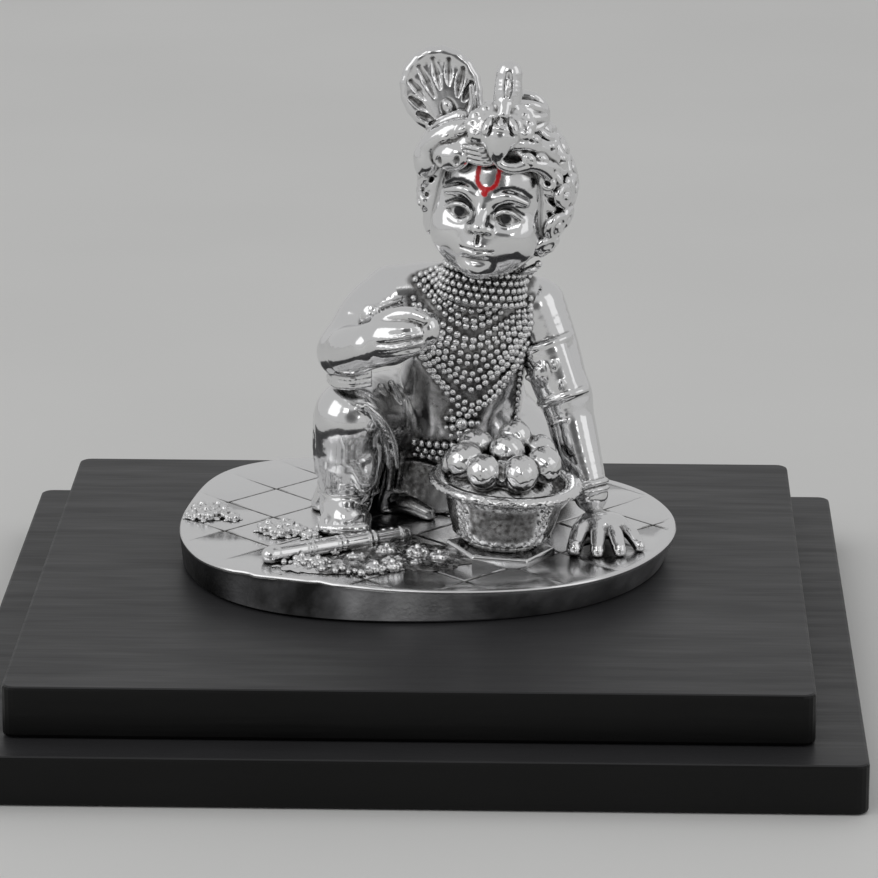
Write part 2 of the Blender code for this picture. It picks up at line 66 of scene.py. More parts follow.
def turn(x=0.0, y=0.0, z=0.0):
    """Rotation matrix: about X, then Y, then Z, in degrees."""
    a, b, c = (math.radians(v) for v in (x, y, z))
    about_x = np.array([[1, 0, 0], [0, math.cos(a), -math.sin(a)], [0, math.sin(a), math.cos(a)]])
    about_y = np.array([[math.cos(b), 0, math.sin(b)], [0, 1, 0], [-math.sin(b), 0, math.cos(b)]])
    about_z = np.array([[math.cos(c), -math.sin(c), 0], [math.sin(c), math.cos(c), 0], [0, 0, 1]])
    return about_z @ about_y @ about_x


def spline(points, steps):
    """A smooth line through points of any number of values (Catmull-Rom)."""
    known = np.asarray(points, float)
    known = np.vstack([2 * known[0] - known[1], known, 2 * known[-1] - known[-2]])
    line = []
    for a, b, c, d in zip(known[:-3], known[1:-2], known[2:-1], known[3:]):
        for step in range(steps):
            t = step / steps
            line.append(0.5 * (2 * b + (c - a) * t + (2 * a - 5 * b + 4 * c - d) * t ** 2
                               + (3 * b - a - 3 * c + d) * t ** 3))
    line.append(known[-2])
    return np.array(line)


# Shapes as distances on a grid


class Clay:
    """Distances to a surface on a grid of cubes; forms are added to it or cut from it.

    blend is the width of the soft join with what is there already.
    """

    def __init__(self, low, high, cube, place=None):
        self.low = np.asarray(low, float)
        self.cube = cube
        self.count = np.ceil((np.asarray(high, float) - self.low) / cube).astype(int) + 1
        self.field = np.full(self.count, FAR, np.float32)
        # A turn and an origin for all that is added, or None
        self.place = place

    def placed(self, points):
        points = np.asarray(points, float)
        if self.place is None:
            return points
        return points @ self.place[0].T + self.place[1]

    def turned(self, rotation):
        rotation = np.eye(3) if rotation is None else np.asarray(rotation)
        return rotation if self.place is None else self.place[0] @ rotation

    def window(self, low, high, reach):
        start = np.maximum(np.floor((low - reach - self.low) / self.cube).astype(int), 0)
        stop = np.minimum(np.ceil((high + reach - self.low) / self.cube).astype(int) + 1, self.count)
        stop = np.maximum(stop, start)
        axes = [(self.low[i] + self.cube * np.arange(start[i], stop[i])).astype(np.float32) for i in range(3)]
        grid = (axes[0][:, None, None], axes[1][None, :, None], axes[2][None, None, :])
        return tuple(slice(a, b) for a, b in zip(start, stop)), grid

    def margin(self, blend):
        """How far round a form the field is worked out."""
        return 1.3 * blend + 3 * self.cube

    def mix(self, part, distance, blend, cut):
        here = -self.field[part] if cut else self.field[part]
        distance = distance.astype(np.float32)
        fused = np.minimum(here, distance)
        if blend > 0:
            near = np.maximum(blend - np.abs(here - distance), 0) / blend
            fused = fused - near * near * (blend / 4)
        self.field[part] = -fused if cut else fused

    def ball(self, at, radii, rotation=None, blend=0.0, cut=False):
        at = self.placed(at)
        radii = np.full(3, radii, float) if np.isscalar(radii) else np.asarray(radii, float)
        rotation = self.turned(rotation)
        half = np.sqrt(((rotation * radii) ** 2).sum(1))
        part, grid = self.window(at - half, at + half, self.margin(blend))
        x, y, z = (grid[i] - at[i] for i in range(3))
        local = [rotation[0, i] * x + rotation[1, i] * y + rotation[2, i] * z for i in range(3)]
        share = np.sqrt(sum((local[i] / radii[i]) ** 2 for i in range(3)))
        slope = np.sqrt(sum((local[i] / radii[i] ** 2) ** 2 for i in range(3))) + 1e-9
        self.mix(part, share * (share - 1) / slope, blend, cut)

    def limb(self, stations, blend=0.0, cut=False, steps=5, flat=None):
        """A rope through stations of x, y, z and radius; flat is a direction and its share of it."""
        line = spline(stations, steps)
        points, radii = self.placed(line[:, :3]), np.maximum(line[:, 3], THINNEST)
        part, (x, y, z) = self.window(points.min(0) - radii.max(), points.max(0) + radii.max(),
                                      self.margin(blend))
        best = None
        for a, b, radius_a, radius_b in zip(points[:-1], points[1:], radii[:-1], radii[1:]):
            way = b - a
            t = ((x - a[0]) * way[0] + (y - a[1]) * way[1] + (z - a[2]) * way[2]) / (way @ way + 1e-12)
            t = np.clip(t, 0, 1)
            out = [x - a[0] - t * way[0], y - a[1] - t * way[1], z - a[2] - t * way[2]]
            square = out[0] ** 2 + out[1] ** 2 + out[2] ** 2
            radius = radius_a + t * (radius_b - radius_a)
            if flat is None:
                distance = np.sqrt(square) - radius
            else:
                across = self.turned(None) @ unit(flat[0])
                along = sum(out[i] * across[i] for i in range(3))
                stretched = square + (1 / flat[1] ** 2 - 1) * along ** 2
                distance = (np.sqrt(stretched) - radius) * math.sqrt(flat[1])
            best = distance if best is None else np.minimum(best, distance)
        self.mix(part, best, blend, cut)

    def ripple(self, low, high, amount):
        """Moves the surface in a box by amount(x, y, z), in millimetres outwards."""
        part, grid = self.window(np.asarray(low, float), np.asarray(high, float), 0)
        self.field[part] -= amount(*grid).astype(np.float32)

    def skin(self):
        """Points and quads of the zero surface: one point in each cube that it crosses."""
        field = self.field
        for axis in range(3):
            ends = [slice(None)] * 3
            for end in (0, -1):
                ends[axis] = end
                field[tuple(ends)] = FAR
        inside = field < 0
        count = np.array(field.shape)
        corners = [(i, j, k) for i in (0, 1) for j in (0, 1) for k in (0, 1)]
        total = np.zeros(tuple(count - 1), np.int8)
        for i, j, k in corners:
            total += inside[i:count[0] - 1 + i, j:count[1] - 1 + j, k:count[2] - 1 + k]
        crossed = (total > 0) & (total < 8)
        cells = np.argwhere(crossed)
        numbers = np.full(tuple(count - 1), -1, np.int64)
        numbers[crossed] = np.arange(len(cells))
        summed = np.zeros((len(cells), 3))
        crossings = np.zeros(len(cells))
        for first in corners:
            for axis in range(3):
                if first[axis]:
                    continue
                second = list(first)
                second[axis] = 1
                from_value = field[tuple((cells + first).T)]
                to_value = field[tuple((cells + second).T)]
                cross = (from_value < 0) != (to_value < 0)
                point = np.repeat(np.array([first], float), len(cells), 0)
                point[:, axis] = from_value / np.where(cross, from_value - to_value, 1)
                summed[cross] += point[cross]
                crossings[cross] += 1
        points = self.low + self.cube * (cells + summed / crossings[:, None])
        quads = []
        for axis in range(3):
            u, v = np.eye(3, dtype=int)[(axis + 1) % 3], np.eye(3, dtype=int)[(axis + 2) % 3]
            here, there = [slice(1, -1)] * 3, [slice(1, -1)] * 3
            here[axis], there[axis] = slice(0, -1), slice(1, None)
            where = np.argwhere(inside[tuple(here)] != inside[tuple(there)])
            outward = inside[tuple(here)][tuple(where.T)]
            start = np.ones(3, int)
            start[axis] = 0
            at = where + start
            quad = np.stack([numbers[tuple(ring.T)] for ring in (at, at - u, at - u - v, at - v)], 1)
            quad[~outward] = quad[~outward][:, ::-1]
            quads.append(quad)
        quads = np.concatenate(quads)
        return points, quads[(quads >= 0).all(1)]

    def hollowness(self, points, reach):
        """How deep each point lies in a hollow: over 0.5 in a groove, under 0.5 on a ridge."""
        filled = np.clip(0.5 - self.field / self.cube, 0, 1)
        half = max(1, round(reach / self.cube))
        for axis in range(3):
            filled = box_blur(box_blur(filled, axis, half), axis, half)
        return sample(filled, (points - self.low) / self.cube)


def box_blur(values, axis, half):
    padding = [(0, 0)] * 3
    padding[axis] = (half + 1, half)
    total = np.cumsum(np.pad(values, padding, mode="edge"), axis, dtype=np.float64)
    high, low = [slice(None)] * 3, [slice(None)] * 3
    high[axis], low[axis] = slice(2 * half + 1, None), slice(0, -2 * half - 1)
    return (total[tuple(high)] - total[tuple(low)]) / (2 * half + 1)


def sample(values, at):
    """Values between the grid's points."""
    low = np.clip(np.floor(at).astype(int), 0, np.array(values.shape) - 2)
    share = np.clip(at - low, 0, 1)
    found = np.zeros(len(at))
    for corner in ((i, j, k) for i in (0, 1) for j in (0, 1) for k in (0, 1)):
        weight = np.prod([share[:, i] if corner[i] else 1 - share[:, i] for i in range(3)], axis=0)
        found += weight * values[tuple((low + corner).T)]
    return found


# Pieces from points and faces


def add_object(name, data):
    thing = bpy.data.objects.new(name, data)
    bpy.context.scene.collection.objects.link(thing)
    return thing


def make_mesh(name, points, faces, values, sharp_degrees=None):
    """A piece from points in millimetres over the ground; values are numbers at its points, by name."""
    mesh = bpy.data.meshes.new(name)
    placed = (np.asarray(points, float) + (0, 0, GROUND)) * MM
    mesh.from_pydata(placed, [], faces if isinstance(faces, list) else faces.tolist())
    for value_name, numbers in values.items():
        attribute = mesh.attributes.new(value_name, "FLOAT", "POINT")
        attribute.data.foreach_set("value", np.ascontiguousarray(numbers, dtype=np.float32))
    mesh.shade_smooth()
    if sharp_degrees:
        mesh.set_sharp_from_angle(angle=math.radians(sharp_degrees))
    return add_object(name, mesh)


def clay_piece(name, clay, hollow_reach=0.7, values=None):
    """A clay's skin as a piece that knows where its hollows are."""
    points, quads = clay.skin()
    numbers = {"hollow": clay.hollowness(points, hollow_reach)}
    if values:
        numbers.update(values(points))
    return make_mesh(name, points, quads, numbers)


def soft_balls(points, balls):
    """A number strongest in the middle of each ball of centre, radii and strength, and 0 outside."""
    strongest = np.zeros(len(points))
    for centre, radii, strength in balls:
        share = np.sqrt((((points - centre) / radii) ** 2).sum(1))
        strongest = np.maximum(strongest, strength * np.clip(2.0 * (1 - share), 0, 1))
    return strongest


def near_points(points, places, full, none):
    """1 within a distance of any of the places, down to 0 farther away."""
    tree = kdtree.KDTree(len(places))
    for number, place in enumerate(places):
        tree.insert(place, number)
    tree.balance()
    low, high = np.min(places, axis=0) - none, np.max(places, axis=0) + none
    close = np.flatnonzero(((points > low) & (points < high)).all(1))
    found = np.zeros(len(points))
    for number in close:
        found[number] = (none - tree.find(points[number])[2]) / (none - full)
    return np.clip(found, 0, 1)


def finish_piece(piece, material, node):
    piece.data.materials.append(material)
    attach(piece, "root")
    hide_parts(node)


# The grids of the clays: low corner, high corner and cube
BODY_GRID = (-33, -4, -1.0), (38, 54, 58), 0.5
RIGHT_ARM_GRID = (-24, -19, 29), (9, 21, 57), 0.36
LEFT_ARM_GRID = (14, -16, -0.8), (49, 21, 55), 0.36
FACE_GRID = (-3, -14, 49), (33, 24, 90), 0.27
HAIR_GRID = (-6, -14, 50), (36, 28, 94), 0.32
HEADDRESS_GRID = (-8, -15, 74), (33, 17, 105), 0.24
LADDUS_GRID = (1, -27, 11), (33, 5, 28), 0.27
TRIMMINGS_GRID = (-54, -34, -0.6), (14, 20, 4.6), 0.24


# The child's body

# Where the body is painted darker: patina on the belly, and painted shade in the folds between the legs and
# on the flare behind
BODY_PATINA_AND_SHADE = (
    ((6.0, 6.0, 29.0), (13.0, 12.0, 10.0), 0.75),
    ((-2.0, 13.0, 12.0), (9.0, 13.0, 17.0), 0.95),
    ((4.0, 10.0, 12.0), (14.0, 12.0, 10.0), 0.90),
    ((-8.0, 8.0, 26.0), (4.0, 9.0, 9.0), 0.80),
)
WAIST_TILT = 37.0
# The trunk, from the hips to the chest: centre and radii
TRUNK = (
    ((7.0, 30.0, 15.5), (14.5, 12.5, 11.5)),
    ((7.1, 24.0, 20.0), (13.4, 12.0, 12.5)),
    ((7.2, 18.0, 24.0), (12.6, 11.5, 13.5)),
    ((8.2, 14.5, 32.0), (13.0, 10.5, 13.0)),
    ((9.0, 11.5, 40.0), (14.0, 9.5, 11.5)),
)


def model_trunk(clay):
    for centre, radii in TRUNK:
        clay.ball(centre, radii, blend=3.0)
    clay.limb([(-6.2, 12.5, 48.4, 6.2), (1, 12.5, 49.4, 6.0), (9, 12.5, 49.4, 6.4), (17, 12.5, 48.4, 6.2),
               (23.4, 12.5, 46.2, 6.2)], blend=4.0)
    clay.limb([(10, 9.5, 50, 7.2), (12.5, 7, 58, 7.0)], blend=3.0)


def model_legs(clay):
    """The knee on the viewer's left is raised, the other one kneels behind the bowl."""
    clay.limb([(1.5, 29, 17.5, 11), (-8, 17, 21.5, 9), (-14.6, 5.5, 24, 7.3)], blend=2.5)
    clay.limb([(-14.6, 5.5, 24, 7.3), (-15, 7.5, 15.5, 7.4), (-15.8, 10.5, 6.5, 5.6)], blend=2.5)
    clay.ball((-16.4, 8.6, 3.2), (5.2, 8.8, 4.2), turn(z=6), blend=1.8)
    for toe in range(5):
        forward = 0.2 + 0.7 * math.sin(math.pi * toe / 4)
        thick = 1.25 + 0.13 * toe
        clay.limb([(-20.0 + 2.0 * toe, 3.0, 2.6, thick), (-20.2 + 2.0 * toe, -forward, 1.5, thick)],
                  blend=0.7, steps=1)
    clay.limb([(14, 30, 15, 10.5), (20, 21, 12, 9.2), (23.5, 13.5, 8.5, 8)], blend=2.5)
    clay.limb([(23.5, 13.5, 8, 7.6), (26, 26, 6.5, 6.6), (25, 38, 4.5, 4.4)], blend=2.0)
    clay.ball((24, 42, 3), (4.6, 7.0, 3.4), turn(z=8), blend=1.5)
    for toe in range(5):
        clay.ball((20.8 + 1.7 * toe, 48.2 - 0.5 * toe, 1.9), (1.1, 1.8, 1.5), blend=0.5)


def model_drapery(clay):
    """The cloth round the hips, its flare behind the raised leg and the folds between the legs."""
    for fold in range(9):
        part = fold / 2
        across, back, tuck = 2.0 * part, 3.6 * part, fold % 2
        clay.limb([(-11 + across, 13 + back, 22 - 0.6 * part, 4.9 - 0.4 * tuck),
                   (-15 + across, 16.5 + back, 13, 4.4 - 0.9 * tuck),
                   (-20 + across + 0.5 * tuck, 18.6 + back, 1, 4.0 - 1.2 * tuck)], blend=0.7)
    for fold in range(8):
        x = -8.0 + 2.3 * fold
        clay.limb([(x + 2.6, 17.8 - 0.4 * fold, 17.5, 1.5), (x + 1.4, 19.6 - 0.3 * fold, 10, 1.6),
                   (x - 0.2 - 0.3 * fold, 16.6, 0.4, 2.0)], blend=0.8)
    clay.ball((4, 27, 8), (15, 10, 11), blend=1.5)
    clay.limb([(-7.5, 17.5, 1.2, 1.6), (-3.5, 13.5, 2.6, 2.0), (1.0, 11.5, 1.2, 1.7)], blend=0.6)
    for offset in (0.0, 2.0):
        clay.limb([(-8.6 + offset, 5.5 + offset, 31, 0.8), (-6.4 + offset, 7.5 + offset, 25, 0.9),
                   (-6.4 + offset, 10.5 + offset, 16, 0.9), (-7.5 + offset, 14.5 + offset, 6, 0.9)],
                  blend=0.5)
    for side_fold in range(14):
        way = math.radians(-30 + 19 * side_fold)
        out, back = math.cos(way), math.sin(way)
        clay.limb([(7 + 12.0 * out, 30 + 10.2 * back, 22.0, 0.8), (7 + 14.4 * out, 30 + 12.5 * back, 15, 1.0),
                   (7 + 13.8 * out, 30 + 12.0 * back, 8, 1.1), (7 + 12 * out, 30 + 11 * back, 1, 1.1)],
                  blend=0.9)
    tilt = math.radians(WAIST_TILT)
    waist = [(7.2 + 13.4 * math.cos(a), 25.5 + 13.0 * math.sin(a) * math.cos(tilt),
              20.5 + 13.0 * math.sin(a) * math.sin(tilt), 1.3) for a in np.linspace(0, 2 * math.pi, 25)]
    clay.limb(waist, blend=0.5, steps=2)
    upper_waist = [(x, y, z + 2.3, 0.8) for x, y, z, radius in waist]
    clay.limb(upper_waist, blend=0.4, steps=2)


def model_shin_panel(clay):
    """The plain cloth panel down the raised shin, the hems over it and the anklet under it."""
    for rise in (0.0, 1.9):
        clay.limb([(-21.6, 9.8, 6.6 + rise, 0.7), (-18.8, 5.0, 6.4 + rise, 0.7),
                   (-13.2, 4.6, 6.4 + rise, 0.7),
                   (-9.6, 9.5, 6.8 + rise, 0.7)], blend=0.3)
    clay.limb([(-21.9, 6.0, 24.5, 0.7), (-22.3, 7.2, 18, 0.7), (-22.0, 8.5, 11, 0.7)], blend=0.5)
    clay.ball((-11.8, 2.0, 16.2), (3.6, 2.0, 7.6), turn(0, 0, 14), blend=0.4)
    for across in (0.0, 1.7):
        clay.limb([(-13.0 + across, -1.7, 28.8, 0.55), (-9.8 + across, 0.0, 25.0, 0.75),
                   (-7.6 + across, 3.0, 19.8, 0.75), (-6.8 + across, 5.2, 13.4, 0.65)], blend=0.25)


def build_body(silver):
    """The trunk, legs and cloth in one skin, and the strings of beads on it."""
    clay = Clay(*BODY_GRID)
    model_trunk(clay)
    beads = chest_beads(clay)
    model_legs(clay)
    model_drapery(clay)
    model_shin_panel(clay)
    cut_flat(clay)

    def stains(points):
        # Painted shade: the skin is darkened round the beads that lie on it.
        under_beads = near_points(points, [bead[:3] for bead in beads], *BEAD_SHADE)
        # Patina on the belly and painted shade between the legs, from the soft balls.
        return {"stain": np.maximum(0.95 * under_beads, soft_balls(points, BODY_PATINA_AND_SHADE))}

    finish_piece(clay_piece("idol_body", clay, values=stains), silver, "idol")
    finish_piece(beads_piece("idol_beads", beads, (0, 1, 0)), silver, "idol")


def cut_flat(clay):
    """Takes away what reaches under the seat of the pieces that stand on the oval base."""
    heights = clay.low[2] + clay.cube * np.arange(clay.count[2])
    below = (0.0 - heights).astype(np.float32)
    clay.field = np.maximum(clay.field, below[None, None, :])


# The arms, with the axis of the one that the child leans on
LEFT_SHOULDER = (23.4, 12.5, 46.2)
LEFT_ELBOW = (29.8, 8.5, 28.0)
LEFT_WRIST = (35.2, 2.5, 8.5)


def model_right_arm(clay):
    """The arm on the viewer's left: it rests on the knee and lifts a sweet."""
    clay.limb([(-6.2, 12.5, 48.4, 6.3), (-11.7, 9.0, 44.6, 5.7), (-16.3, 4.2, 38.5, 4.7)], blend=2.0)
    clay.limb([(-16.3, 4.2, 38.5, 4.9), (-14.0, -2.4, 40.6, 5.1), (-10.2, -7.6, 43.0, 4.7)], blend=2.5)
    clay.ball((-6.4, -10.2, 44.8), (5.4, 3.4, 5.0), turn(z=-25), blend=2.0)
    clay.limb([(-6.4, -11.4, 45.0, 4.4), (-3.0, -12.8, 46.0, 4.0), (-0.8, -12.4, 46.6, 3.0)], blend=1.0,
              flat=((0.2, 1, 0), 0.72))
    clay.ball((2.0, -11.4, 47.8), (2.4, 3.0, 3.5), blend=0.1)
    for root, tip in ((47.6, 48.6), (45.3, 46.7), (43.0, 44.7)):
        clay.limb([(-8.6, -14.0, root, 0.40), (-5.4, -15.3, (3 * root + tip) / 4, 0.75),
                   (-2.4, -15.7, (root + 3 * tip) / 4, 0.70), (0.6, -14.6, tip, 0.50)], blend=0.3, cut=True)
    clay.limb([(-8.0, -8.8, 48.4, 1.9), (-4.6, -10.8, 50.3, 1.8), (-1.4, -12.2, 51.0, 1.6),
               (1.2, -13.2, 50.4, 1.3)],
              blend=0.4)


def arm_ring(clay, low, high, share, angles, radius, thick, blend=0.25):
    """A band round a limb: its axis from low to high, a share of the way up, angles from the front."""
    low, high = np.array(low), np.array(high)
    middle = low + share * (high - low)
    axis = unit(high - low)
    side = unit(np.cross(axis, (0, -1, 0)))
    front = np.cross(side, axis)
    stations = []
    for angle in np.radians(np.linspace(angles[0], angles[1], 13)):
        stations.append((*(middle + radius * (math.sin(angle) * side + math.cos(angle) * front)), thick))
    clay.limb(stations, blend=blend, steps=2)


def model_left_arm(clay):
    """The arm on the viewer's right: it holds the child up, with the hand flat on the floor."""
    clay.limb([(*LEFT_SHOULDER, 6.3), (27.0, 11, 37.6, 5.5), (*LEFT_ELBOW, 5.1)], blend=2.0)
    clay.limb([(*LEFT_ELBOW, 5.1), (32, 6, 19, 4.8), (*LEFT_WRIST, 3.6)], blend=2.0)
    clay.ball((37.6, -2.0, 3.4), (5.4, 5.6, 2.8), turn(-22, 0, 14), blend=2.0)
    for root, tip, radius in (((34.2, -1.6, 3.8), (31.8, -11.4, 1.2), 1.9),
                              ((36.8, -4.3, 3.8), (36.6, -12.6, 1.1), 1.65),
                              ((39.4, -4.4, 3.6), (41.2, -12.0, 1.1), 1.65),
                              ((41.6, -2.6, 3.2), (45.2, -8.6, 1.0), 1.5)):
        middle = [(a + b) / 2 for a, b in zip(root, tip)]
        knuckle = (middle[0], middle[1] - 0.3, middle[2] + 0.9, radius)
        clay.limb([(*root, radius), knuckle, (*tip, radius * 0.85)], blend=0.7)
        nail = (tip[0], tip[1] + 0.2, tip[2] + 0.75 * radius)
        clay.ball(nail, (0.7 * radius, 0.8 * radius, 0.3), turn(-16, 0, 0), blend=0.2)


def model_armlets(clay):
    """The medallion and the elbow band on one arm, the wide cuff on the other, and the bangles."""
    for size, stand in ((2.1, 0.0), (1.3, 0.5)):
        clay.ball((-10.6, 1.9 - stand, 46.8), (size, 0.9, 1.25 * size), turn(0, 12, -10), blend=0.2)
    for drop in (0.0, 1.6):
        clay.limb([(-8.8, 2.2, 48.6 - drop, 0.6), (-6.6, 3.2, 49.4 - drop, 0.6),
                   (-4.4, 5.0, 49.8 - drop, 0.6)],
                  blend=0.25)
    for band in range(5):
        height = 32.2 + 0.95 * band
        clay.limb([(-19.4, 4.6, height, 0.45), (-17.4, 0.4, height, 0.55), (-14.0, -1.3, height + 0.2, 0.55),
                   (-10.4, 0.2, height + 0.4, 0.45)], blend=0.2)
    for share, radius, thick in ((0.60, 5.7, 0.8), (0.54, 5.4, 0.5), (0.02, 5.5, 0.8), (0.08, 5.2, 0.5)):
        arm_ring(clay, LEFT_ELBOW, LEFT_SHOULDER, share, (-100, 60), radius, thick, 0.3)
    for step in range(9):
        arm_ring(clay, LEFT_ELBOW, LEFT_SHOULDER, 0.12 + 0.05 * step, (-95, 30), 4.7 + 0.04 * step, 1.0, 1.2)
    for angle, share, size in ((-34, 0.33, 2.4), (-72, 0.42, 1.1), (-74, 0.24, 1.0), (4, 0.45, 0.9),
                               (6, 0.22, 0.9)):
        for round_size, stand in ((size, 0.0), (0.62 * size, 0.6)):
            way = math.radians(angle)
            middle = np.array(LEFT_ELBOW) + share * (np.array(LEFT_SHOULDER) - LEFT_ELBOW)
            middle = middle + (5.9 + stand) * np.array((math.sin(way), -math.cos(way), 0))
            clay.ball(middle, (round_size, 0.8, 1.3 * round_size), turn(0, 8, angle), blend=0.12)
    for ring in range(5):
        arm_ring(clay, LEFT_WRIST, LEFT_ELBOW, 0.95 - 0.045 * ring, (-80, -5), 5.0 - 0.04 * ring, 0.4, 0.2)
    for share, radius in ((0.10, 3.9), (0.03, 3.7)):
        arm_ring(clay, LEFT_WRIST, LEFT_ELBOW, share, (-110, 110), radius, 0.55)


def build_arms(silver):
    right = Clay(*RIGHT_ARM_GRID)
    model_right_arm(right)
    model_armlets(right)
    finish_piece(clay_piece("idol_right_arm", right, 0.5), silver, "idol")
    left = Clay(*LEFT_ARM_GRID)
    model_left_arm(left)
    model_armlets(left)
    cut_flat(left)
    finish_piece(clay_piece("idol_left_arm", left, 0.5), silver, "idol")


# The face

# The head's middle and its turns: a little up, over to one side and towards the raised hand
HEAD = (turn(-6, 7, -10), np.array((15.0, 5.0, 72.3)))
EYE_APART = 4.8
EYE_HEIGHT = -3.0
# The paint in the head's frame: lines of across and up, half widths, and how softly they end
MARK_HALF = 2.1
BROW = (1.9, 2.2), (3.2, 3.1), (5.2, 3.5), (7.2, 3.0), (8.8, 1.8)
LASH = (1.9, -2.3), (3.6, -0.65), (5.8, -0.45), (8.1, -1.8)
PUPIL_RADIUS = 1.15
PAINT_EDGE = 0.12


def model_face(clay):
    """A calm child's face on plain proportions, in the head's own frame."""
    clay.ball((0, 1.5, 2.5), (12.9, 13.8, 13.4))
    clay.ball((0, -2.2, -4.8), (11.3, 11.2, 10.6), blend=3.0)
    clay.ball((0, -5.6, -12.4), (6.6, 5.6, 4.4), blend=4.0)
    for side in (-1, 1):
        clay.ball((5.7 * side, -6.6, -7.8), (5.2, 5.2, 5.2), blend=3.0)
    clay.ball((0, -8.6, -9.6), (4.2, 4.6, 3.8), blend=3.0)
    clay.limb([(0, 3.5, -8, 7.2), (-1.0, 3.0, -20, 7.0)], blend=2.0, steps=1)
    for side in (-1, 1):
        model_eye(clay, side)
        clay.limb([(12.0 * side, -0.5, -1.0, 1.2), (13.6 * side, 1.2, 0.4, 1.2),
                   (14.2 * side, 2.6, -2.6, 1.3),
                   (13.4 * side, 1.4, -6.0, 1.2), (12.4 * side, 0.0, -8.4, 1.5)], blend=0.8)
        clay.ball((12.8 * side, 0.6, -3.6), (1.4, 1.6, 2.6), blend=0.6)
    model_nose(clay)
    model_mouth(clay)
    clay.ball((0, -10.2, -14.2), (2.7, 2.2, 2.0), blend=2.4)


def model_eye(clay, side):
    middle = EYE_APART * side
    clay.ball((middle, -12.9, EYE_HEIGHT + 0.3), (3.5, 1.9, 2.3), turn(0, 0, 14 * side), blend=1.6, cut=True)
    clay.ball((middle, -9.35, EYE_HEIGHT), 2.5, blend=0.2)
    lid = [(middle - 2.9 * side, -11.5, EYE_HEIGHT - 0.5, 0.4),
           (middle - 1.2 * side, -12.15, EYE_HEIGHT + 1.2, 0.5),
           (middle + 1.0 * side, -11.9, EYE_HEIGHT + 1.35, 0.5),
           (middle + 3.2 * side, -10.3, EYE_HEIGHT, 0.4)]
    clay.limb(lid, blend=0.3)
    crease = [(x, y + 0.25, z + 1.15, 0.3) for x, y, z, radius in lid[1:3]]
    crease = [(middle - 2.8 * side, -11.5, EYE_HEIGHT + 0.7, 0.2), *crease,
              (middle + 3.4 * side, -10.2, EYE_HEIGHT + 1.0, 0.2)]
    clay.limb(crease, blend=0.3, cut=True)
    clay.limb([(middle - 2.8 * side, -11.4, EYE_HEIGHT - 0.8, 0.35), (middle, -11.75, EYE_HEIGHT - 1.9, 0.4),
               (middle + 3.0 * side, -10.4, EYE_HEIGHT - 0.6, 0.35)], blend=0.3)
    clay.limb([(middle - 3.2 * side, -12.1, EYE_HEIGHT + 3.5, 0.5), (middle, -12.0, EYE_HEIGHT + 4.6, 0.8),
               (middle + 3.6 * side, -10.2, EYE_HEIGHT + 3.6, 0.5)], blend=1.4)


def model_nose(clay):
    clay.limb([(0, -11.6, 1.6, 1.1), (0, -12.4, -2.0, 1.15), (0, -14.0, -5.2, 1.5)], blend=1.0)
    clay.ball((0, -14.3, -5.4), (1.5, 1.4, 1.3), blend=0.6)
    for side in (-1, 1):
        clay.ball((1.75 * side, -12.9, -5.7), (1.1, 1.4, 1.05), blend=0.5)
        clay.ball((0.85 * side, -14.0, -6.6), (0.5, 0.7, 0.45), blend=0.25, cut=True)


def model_mouth(clay):
    clay.limb([(0, -13.1, -7.0, 0.25), (0, -13.3, -8.6, 0.35)], blend=0.6, cut=True, steps=1)
    clay.limb([(-3.0, -12.1, -10.0, 0.3), (-1.3, -13.1, -9.3, 0.62), (0, -13.3, -9.6, 0.6),
               (1.3, -13.1, -9.3, 0.62), (3.0, -12.1, -10.0, 0.3)], blend=0.5)
    clay.limb([(-2.5, -12.1, -10.6, 0.4), (0, -13.0, -11.1, 0.85), (2.5, -12.1, -10.6, 0.4)], blend=0.5)
    clay.limb([(-3.4, -12.6, -9.9, 0.22), (-1.4, -13.6, -10.15, 0.28), (0, -13.9, -10.3, 0.28),
               (1.4, -13.6, -10.15, 0.28), (3.4, -12.6, -9.9, 0.22)], blend=0.15, cut=True)
    clay.ball((0, -12.9, -12.6), (2.4, 0.9, 0.8), blend=1.4, cut=True)


def line_distance(x, z, line):
    """How far points lie from a bent line, seen from the front."""
    best = np.full(len(x), 99.0)
    for (ax, az), (bx, bz) in zip(line[:-1], line[1:]):
        length = (bx - ax) ** 2 + (bz - az) ** 2
        t = np.clip(((x - ax) * (bx - ax) + (z - az) * (bz - az)) / length, 0, 1)
        best = np.minimum(best, np.hypot(x - ax - t * (bx - ax), z - az - t * (bz - az)))
    return best


def painted(distance, half_width):
    return np.clip((half_width - distance) / PAINT_EDGE + 0.5, 0, 1)


def face_paint(points):
    """The red mark on the forehead and the black brows, lashes and pupils, as numbers at the points, with a
    painted shadow under the chin.
    """
    x, y, z = ((points - HEAD[1]) @ HEAD[0]).T
    front = y < -6
    angles = np.linspace(math.pi, 2 * math.pi, 9)
    bend = [(MARK_HALF * math.cos(a), 4.6 + 2.2 * math.sin(a)) for a in angles]
    mark = [(-MARK_HALF, 8.0), *bend, (MARK_HALF, 8.0)]
    red = painted(line_distance(x, z, mark), 0.50)
    red = np.maximum(red, painted(line_distance(x, z, [(0, 2.2), (0, 1.6)]), 0.70))
    black = np.zeros(len(x))
    for side in (-1, 1):
        across = x * side
        black = np.maximum(black, painted(line_distance(across, z, BROW), 0.38))
        black = np.maximum(black, painted(line_distance(across, z, LASH), 0.26))
        black = np.maximum(black, painted(np.hypot(across - EYE_APART, z - EYE_HEIGHT), PUPIL_RADIUS))
    # Painted shadow: the skin below the chin is darkened.
    neck = np.clip((-14.5 - z) / 1.5, 0, 1) * (y > -8.0)
    return {"red": red * front, "black": black * front, "stain": 0.85 * neck}


def build_face(silver):
    clay = Clay(*FACE_GRID, HEAD)
    model_face(clay)
    finish_piece(clay_piece("idol_face", clay, 0.45, face_paint), silver, "idol")


# The hair, with the curls beside the face: direction, size and lift

